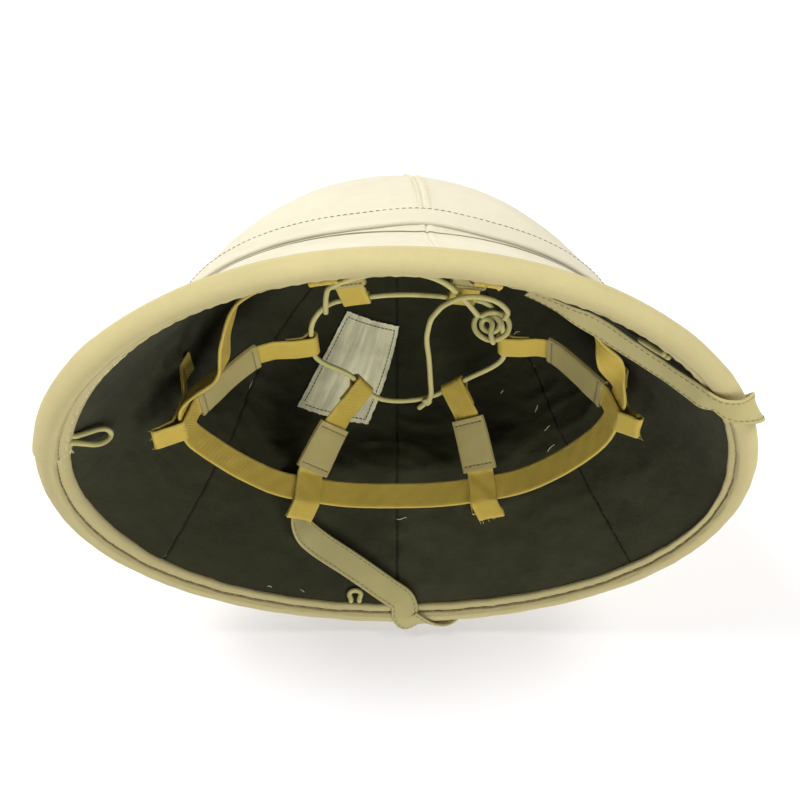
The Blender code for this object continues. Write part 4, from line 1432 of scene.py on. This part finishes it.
def build_headband():
    """Webbing round the head, straight under each strap and twisted at one place."""
    knots = []
    straight = []
    for index, row in enumerate(HEADBAND):
        middle, face, edge = headband_frame(index)
        if row[3]:
            half = 0.5 * SLEEVE_WIDTH * unit(np.cross(face, edge))
            straight.append(len(knots))
            knots += [middle - half, middle + half]
        else:
            knots.append(middle)
    path = np.array(smooth_curve(knots, 8, True, straight))
    path = evenly(path, (), 1.5, True, 4)[0]
    outward = unit(np.cross(ways_of(path, True), UP))
    away = np.linalg.norm(path - np.array(TWIST_PLACE), axis=1) / TWIST_SPREAD
    flare = wide(np.radians(HEADBAND_FLARE + TWIST * np.exp(-away * away)))
    sides = outward * np.sin(flare) - UP * np.cos(flare)
    profile = flat_profile(WEBBING_WIDTH, HEADBAND_THICK, 10, 0.12)
    rough = (0.12, 9.0, 11)
    look = LOOKS["webbing"]
    strip_piece("headband_webbing", path, sides, profile, rough, look, "webbing", "headband", True)


def top_loop(place):
    """Points of a strap's end round the drawcord, up to where it leaves for the headband."""
    loop, away, up, _ = strap_plane(place)
    path = []
    for along in (13.0, 10.0, 7.0, 4.5):
        path.append(loop + away * along + up * (WEBBING_THICK + GAP - LOOP_RADIUS))
    for turn in range(75, 271, 15):
        swing = math.radians(turn)
        path.append(loop + (away * math.cos(swing) + up * math.sin(swing)) * LOOP_RADIUS)
    path.append(loop + away * 9.0 - up * LOOP_RADIUS)
    return path


def folded_end(place, inside, across, below):
    """Points of a strap below the headband: its fold, and the way up to its seat."""
    middle, face, edge = headband_frame(CROSSINGS.index(place))
    tab = np.array(STRAPS[place][2])
    way = unit(tab - below)
    out = unit(np.cross(way, across))
    if float(out @ face) < 0.0:
        out = -out
    path = [tab]
    for turn in (30.0, 60.0, 90.0, 120.0, 150.0):
        swing = math.radians(turn)
        path.append(tab + (way * math.sin(swing) + out * (1.0 - math.cos(swing))) * FOLD_RADIUS)
    path.append(tab + out * 2.0 * FOLD_RADIUS - way * 2.0)
    if STRAPS[place][4][1] < middle[2] + 0.5 * WEBBING_WIDTH:
        return path
    outside = middle + middle - inside + face * 0.9
    path.append(outside + edge * (0.5 * WEBBING_WIDTH + 1.0))
    path.append(outside - edge * 0.5 * WEBBING_WIDTH)
    return path


def lining_across(angle, height):
    return unit(lining_point(angle + 0.02, height) - lining_point(angle - 0.02, height))


def strap_route(place):
    """Middle line of a strap, the way across it, and the stretch its sleeve covers."""
    _, _, up, across = strap_plane(place)
    _, bend, _, (gap, sleeve_length), (seat_turn, seat_height) = STRAPS[place]
    middle, face, edge = headband_frame(CROSSINGS.index(place))
    along_band = unit(np.cross(edge, face))
    if float(along_band @ across) < 0.0:
        along_band = -along_band
    inside = middle - face * (0.5 * (HEADBAND_THICK + WEBBING_THICK) + GAP + 0.6)
    above = inside - edge * (0.5 * WEBBING_WIDTH + 0.8)
    below = inside + edge * (0.5 * WEBBING_WIDTH + 0.8)
    path = top_loop(place)
    sides = [across] * len(path)
    body = smooth_curve([path[-1], np.array(bend) - up * LOOP_RADIUS, above], 6)
    down = body[::-1]
    path.append(point_along(down, 0.5 * (path_length(down) + sleeve_length)))
    sides.append(across)
    sleeve = []
    for share in np.linspace(1.0, 0.0, 7):
        side = across * 0.6 * share + along_band * (1.0 - 0.6 * share)
        path.append(point_along(down, gap + sleeve_length * share))
        sides.append(side)
        sleeve.append((path[-1], side))
    path += [above, below]
    path += folded_end(place, inside, along_band, below)
    sides += [along_band] * (len(path) - len(sides))
    angle = math.atan2(middle[1] / CROWN_HALF_WIDTH, middle[0] / CROWN_HALF_LENGTH)
    angle += math.radians(seat_turn)
    for height in (seat_height, seat_height + SEAT_LENGTH):
        path.append(lining_point(angle, height, SEAT_LIFT + 0.5 * WEBBING_THICK))
        seat_side = lining_across(angle, height)
        sides.append(seat_side if float(seat_side @ across) > 0.0 else -seat_side)
    return path, sides, sleeve


def build_strap(place):
    """A strap with its frayed end and its sleeve; gives the stitches of its end."""
    path, sides, sleeve = strap_route(place)
    path, sides = evenly(path, (sides,), 0.6, False, 3)
    profile = flat_profile(WEBBING_WIDTH, WEBBING_THICK, 8, 0.1)
    name, look, rough = "webbing_" + place, LOOKS["webbing"], (0.10, 7.0, 12)
    sides, faces = strip_piece(name, path, sides, profile, rough, look, "webbing", "strap_" + place)
    near = int(np.argmin(np.linalg.norm(path - np.array(STRAPS[place][2]), axis=1)))
    middle, side, out = path[near - 3], sides[near - 3], faces[near - 3]
    lift = 0.5 * WEBBING_THICK + 0.05
    row = [middle + side * across - out * lift for across in np.linspace(-6.0, 6.0, 25)]
    edge = np.linspace(-0.5 * WEBBING_WIDTH, 0.5 * WEBBING_WIDTH, 12)
    lip = [path[near] + side * across for across in edge]
    ahead = unit(path[near] - path[near - 4])
    frays = frayed_edge(lip, [-out] * len(lip), ahead, 7, 3.2, random.Random(20 + len(path)))
    threads("frayed_end_" + place, frays, 0.13, LOOKS["gold_thread"], "webbing")
    build_sleeve(place, sleeve)
    return stitch_paths(row, [-out] * len(row), *STRAP_STITCH)


def build_sleeve(place, rows):
    """Flat cloth tube round a strap, hemmed and stitched near both ends."""
    path, sides = zip(*rows)
    path, sides = evenly(path, (sides,), 1.0, False, 3)
    thick = WEBBING_THICK + 2.0 * SLEEVE_CLEAR
    inner = flat_profile(SLEEVE_WIDTH - 2.0 * SLEEVE_THICK, thick, 8)
    outer = flat_profile(SLEEVE_WIDTH, thick + 2.0 * SLEEVE_THICK, 8)
    steps = np.arange(len(path))
    ends = np.minimum(steps, steps[::-1])
    sink = 0.35 * np.exp(-(((ends - 3.0) / 0.8) ** 2)) - 0.12 * np.exp(-(((ends - 1.0) / 1.2) ** 2))
    front, sides, faces = strip_sections(path, sides, outer)
    back = strip_sections(path, sides, inner)[0]
    front -= faces[:, None, :] * outer[None, :, 1:] * (0.5 * sink)[:, None, None]
    front += faces[:, None, :] * (0.25 * grain(front, 8.0, 13))[..., None]
    look, nodes = LOOKS["sleeve"], ("sleeve_" + place,)
    shell("sleeve_cloth_" + place, front, back, True, look, "sleeve_cloth", nodes)
    hem = 0.5 * SLEEVE_WIDTH - 0.8
    lift = 0.5 * thick + SLEEVE_THICK - 0.05
    stitches = []
    for row in (3, len(path) - 4):
        for out in (-1.0, 1.0):
            face = faces[row] * out
            spots = path[row] + wide(np.linspace(-hem, hem, 24)) * sides[row] + face * lift
            stitches += stitch_paths(spots, [face] * len(spots), *SLEEVE_STITCH)
    threads("sleeve_stitches_" + place, stitches, 0.24, LOOKS["brown"], "sleeve_cloth")


# Chin strap and label


# Turns over the rim from its inside (0) to its outside (180), and shares of the way between them
CHIN_TURNS_LEFT = (10.0, 35.0, 60.0, 90.0, 120.0, 145.0, 170.0)
CHIN_TURNS_RIGHT = (170.0, 120.0, 60.0, 10.0)
CHIN_OUTSIDE = (0.06, 0.12, 0.22, 0.35, 0.5, 0.65, 0.78, 0.88, 0.94)
CHIN_STITCH_INSET = 1.7


def chin_route():
    """Middle line of the chin strap and the way its face looks, from end to end."""
    points = [row[:3] for row in CHIN_LEFT]
    faces = [row[3] for row in CHIN_LEFT]
    leaves = math.radians(CHIN_LEAVES)
    returns = math.radians(CHIN_RETURNS)

    def over_rim(angle, turns, slide, lift):
        _, across, down = rim_axes(angle)
        for turn in turns:
            swing = math.radians(turn)
            at = angle + math.radians(slide * (90.0 - turn) / 90.0)
            points.append(rim_roll(at, turn, lift))
            faces.append(across * math.cos(swing) + down * math.sin(swing))

    over_rim(leaves, CHIN_TURNS_LEFT, 4.5, CHIN_LIFT + 0.4)
    for step in CHIN_OUTSIDE:
        angle = leaves + (returns - leaves) * step
        share = CHIN_CLIMB * math.sin(math.pi * step)
        near_rim = max(0.0, 1.0 - share / 0.2)
        lift = CHIN_LIFT + 0.5 - ROLL_OUTER * min(1.0, near_rim * 2.0)
        points.append(brim_layer(angle, share, -lift))
        faces.append(brim_normal(angle, share))
    over_rim(returns, CHIN_TURNS_RIGHT, -5.0, CHIN_LIFT + 2.0)
    points += [row[:3] for row in CHIN_RIGHT]
    faces += [row[3] for row in CHIN_RIGHT]
    return points, faces


def build_chin_strap():
    points, looks_to = chin_route()
    path = np.array(smooth_curve(points, 6))
    looks_to = np.array(smooth_curve(looks_to, 6))
    sides = unit(np.cross(ways_of(path), looks_to))
    path, sides = evenly(path, (sides,), 1.5, False, 2)
    profile = flat_profile(CHIN_WIDTH, CHIN_THICK, 12, 0.15)
    name, look, rough = "chin_strap_cloth", LOOKS["chin"], (0.15, 9.0, 14)
    sides, faces = strip_piece(name, path, sides, profile, rough, look, name, "chin_strap")
    stitches = []
    inset = 0.5 * CHIN_WIDTH - CHIN_STITCH_INSET
    for across in (-inset, inset):
        for out in (-1.0, 1.0):
            row = path + sides * across + faces * out * (0.5 * CHIN_THICK + 0.02)
            stitches += stitch_paths(row, faces * out, *CHIN_STITCH)
    threads("chin_strap_stitches", stitches, 0.18, LOOKS["brown"], "chin_strap_cloth")


LABEL_ROWS = 46
LABEL_COLUMNS = 34
LABEL_FRAY = 0.006
LABEL_LIFT = GAP + 0.75
LABEL_THICK = 0.35
LABEL_STITCH_INSET = 2

# Lengthwise creases of the label: share of its width, depth
LABEL_CREASES = ((0.30, 1.0), (0.52, 0.9), (0.74, 1.0))


def label_point(across, up, lift):
    """Point over the lining at shares of the label's width and length."""
    low, high = (
        np.array(first) * (1.0 - across) + np.array(second) * across
        for first, second in (LABEL_LOW, LABEL_HIGH)
    )
    angle, height = low * (1.0 - up) + high * up
    return lining_point(math.radians(angle), height, lift)


def build_label():
    """Satin label with lengthwise creases and a ragged edge."""
    chance = random.Random(5)
    last_row, last_column = LABEL_ROWS - 1, LABEL_COLUMNS - 1
    front = np.zeros((LABEL_ROWS, LABEL_COLUMNS, 3))
    back = np.zeros_like(front)
    for row, up in enumerate(np.linspace(0.0, 1.0, LABEL_ROWS)):
        for column, across in enumerate(np.linspace(0.0, 1.0, LABEL_COLUMNS)):
            fray = chance.uniform(-LABEL_FRAY, LABEL_FRAY)
            side = across + (fray if column in (0, last_column) else 0.0)
            rise = up + (fray if row in (0, last_row) else 0.0)
            crease = 0.0
            for middle, deep in LABEL_CREASES:
                away = (across - middle - 0.03 * math.sin(up * 5.0)) / 0.035
                crease += deep * math.exp(-(away ** 2))
            puff = 0.55 * math.sin(math.pi * across) * math.sin(math.pi * up)
            ruffle = 0.35 * noise.noise(Vector((across * 5.0, up * 7.0, 3.1)))
            lift = max(GAP + 1.0 + puff + ruffle - crease * 0.6, LABEL_LIFT)
            front[row, column] = label_point(side, rise, lift + LABEL_THICK)
            back[row, column] = label_point(side, rise, lift)
    look = LOOKS["label"]
    piece = shell("label_satin_cloth", front, back, False, look, "label_cloth", ("label",))
    low = LABEL_STITCH_INSET
    top, right = last_row - low, last_column - low
    ring = [(low, column) for column in range(low, right + 1)]
    ring += [(row, right) for row in range(low, top + 1)]
    ring += [(top, column) for column in range(right, low - 1, -1)]
    ring += [(row, low) for row in range(top, low - 1, -1)]
    edge = [front[spot] for spot in ring]
    outs = [unit(front[spot] - back[spot]) for spot in ring]
    stitches = stitch_paths(edge, outs, *LABEL_STITCH)
    threads("label_stitches", stitches, 0.22, LOOKS["dark"], "label_cloth")


# Floor and light


FLOOR_RADIUS = 1.4
ROOM_LIGHT = 0.06
BACKDROP_WHITE = 0.92
LIGHT_REACH = 2.2
LIGHT_SIZE = 0.9
LIGHT_AIM = (0.0, 0.0, 0.05)
LIGHT_COLOUR = (1.0, 0.99, 0.97)
BACKDROP_COLOUR = (0.97, 0.97, 1.0, 1.0)
FLOOR_COLOUR = (0.80, 0.79, 0.80)
SOFT_LIGHTS = (
    # name, turn round the floor from +X, rise above the floor, power
    ("high_left_key", 135.0, 42.0, 36.0),
    ("low_left_fill", 150.0, 22.0, 19.0),
    ("high_right_fill", 45.0, 42.0, 23.0),
    ("low_right_fill", 30.0, 22.0, 12.5),
    ("front_fill", -90.0, 42.0, 21.5),
    ("front_right_fill", -45.0, 42.0, 19.0),
    ("front_left_fill", -135.0, 42.0, 5.0),
)


def add_light(name, turn, rise, power):
    """A round soft light over the floor, aimed at the helmet."""
    data = bpy.data.lights.new(name, "AREA")
    data.shape = "DISK"
    data.size = LIGHT_SIZE
    data.energy = power
    data.color = LIGHT_COLOUR
    light = bpy.data.objects.new(name, data)
    bpy.context.collection.objects.link(light)
    turn, rise = math.radians(turn), math.radians(rise)
    flat = math.cos(rise)
    way = Vector((flat * math.cos(turn), flat * math.sin(turn), math.sin(rise)))
    light.location = way * LIGHT_REACH
    aim = Vector(LIGHT_AIM) - light.location
    light.rotation_euler = aim.to_track_quat("-Z", "Y").to_euler()


def add_stage():
    """Pale floor, soft lights and a white backdrop that gives little light itself."""
    floor_look = Look("pale_floor", 0.9)
    patches = floor_look.noise(floor_look.place(), 3.0, 3.0)
    floor_look.done(floor_look.tint(FLOOR_COLOUR, 0.99 + patches * 0.02))
    bpy.ops.mesh.primitive_circle_add(vertices=96, radius=FLOOR_RADIUS, fill_type="NGON")
    floor = bpy.context.object
    floor.name = "floor"
    floor.data.materials.append(floor_look.made)
    for light in SOFT_LIGHTS:
        add_light(*light)
    world = bpy.data.worlds.new("studio")
    world.use_nodes = True
    tree = world.node_tree
    backdrop = tree.nodes["Background"]
    backdrop.inputs["Color"].default_value = BACKDROP_COLOUR
    seen = tree.nodes.new("ShaderNodeLightPath")
    strength = tree.nodes.new("ShaderNodeMath")
    strength.operation = "MULTIPLY_ADD"
    strength.inputs[1].default_value = BACKDROP_WHITE
    strength.inputs[2].default_value = ROOM_LIGHT
    tree.links.new(seen.outputs["Is Camera Ray"], strength.inputs[0])
    tree.links.new(strength.outputs[0], backdrop.inputs["Strength"])
    bpy.context.scene.world = world
    bpy.context.scene.view_settings.view_transform = "Standard"


add_camera()
build_cords()
build_cord_loops()
build_crown_cover()
build_brim_cover()
build_band()
build_hem()
build_lining()
build_lining_threads()
build_headband()
tab_stitches = []
for strap in STRAPS:
    tab_stitches += build_strap(strap)
threads("strap_end_stitches", tab_stitches, 0.2, LOOKS["brown"], "webbing")
build_chin_strap()
build_label()
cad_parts["pith_shell"].material_slots[0].material = LOOKS["pith"]
add_stage()
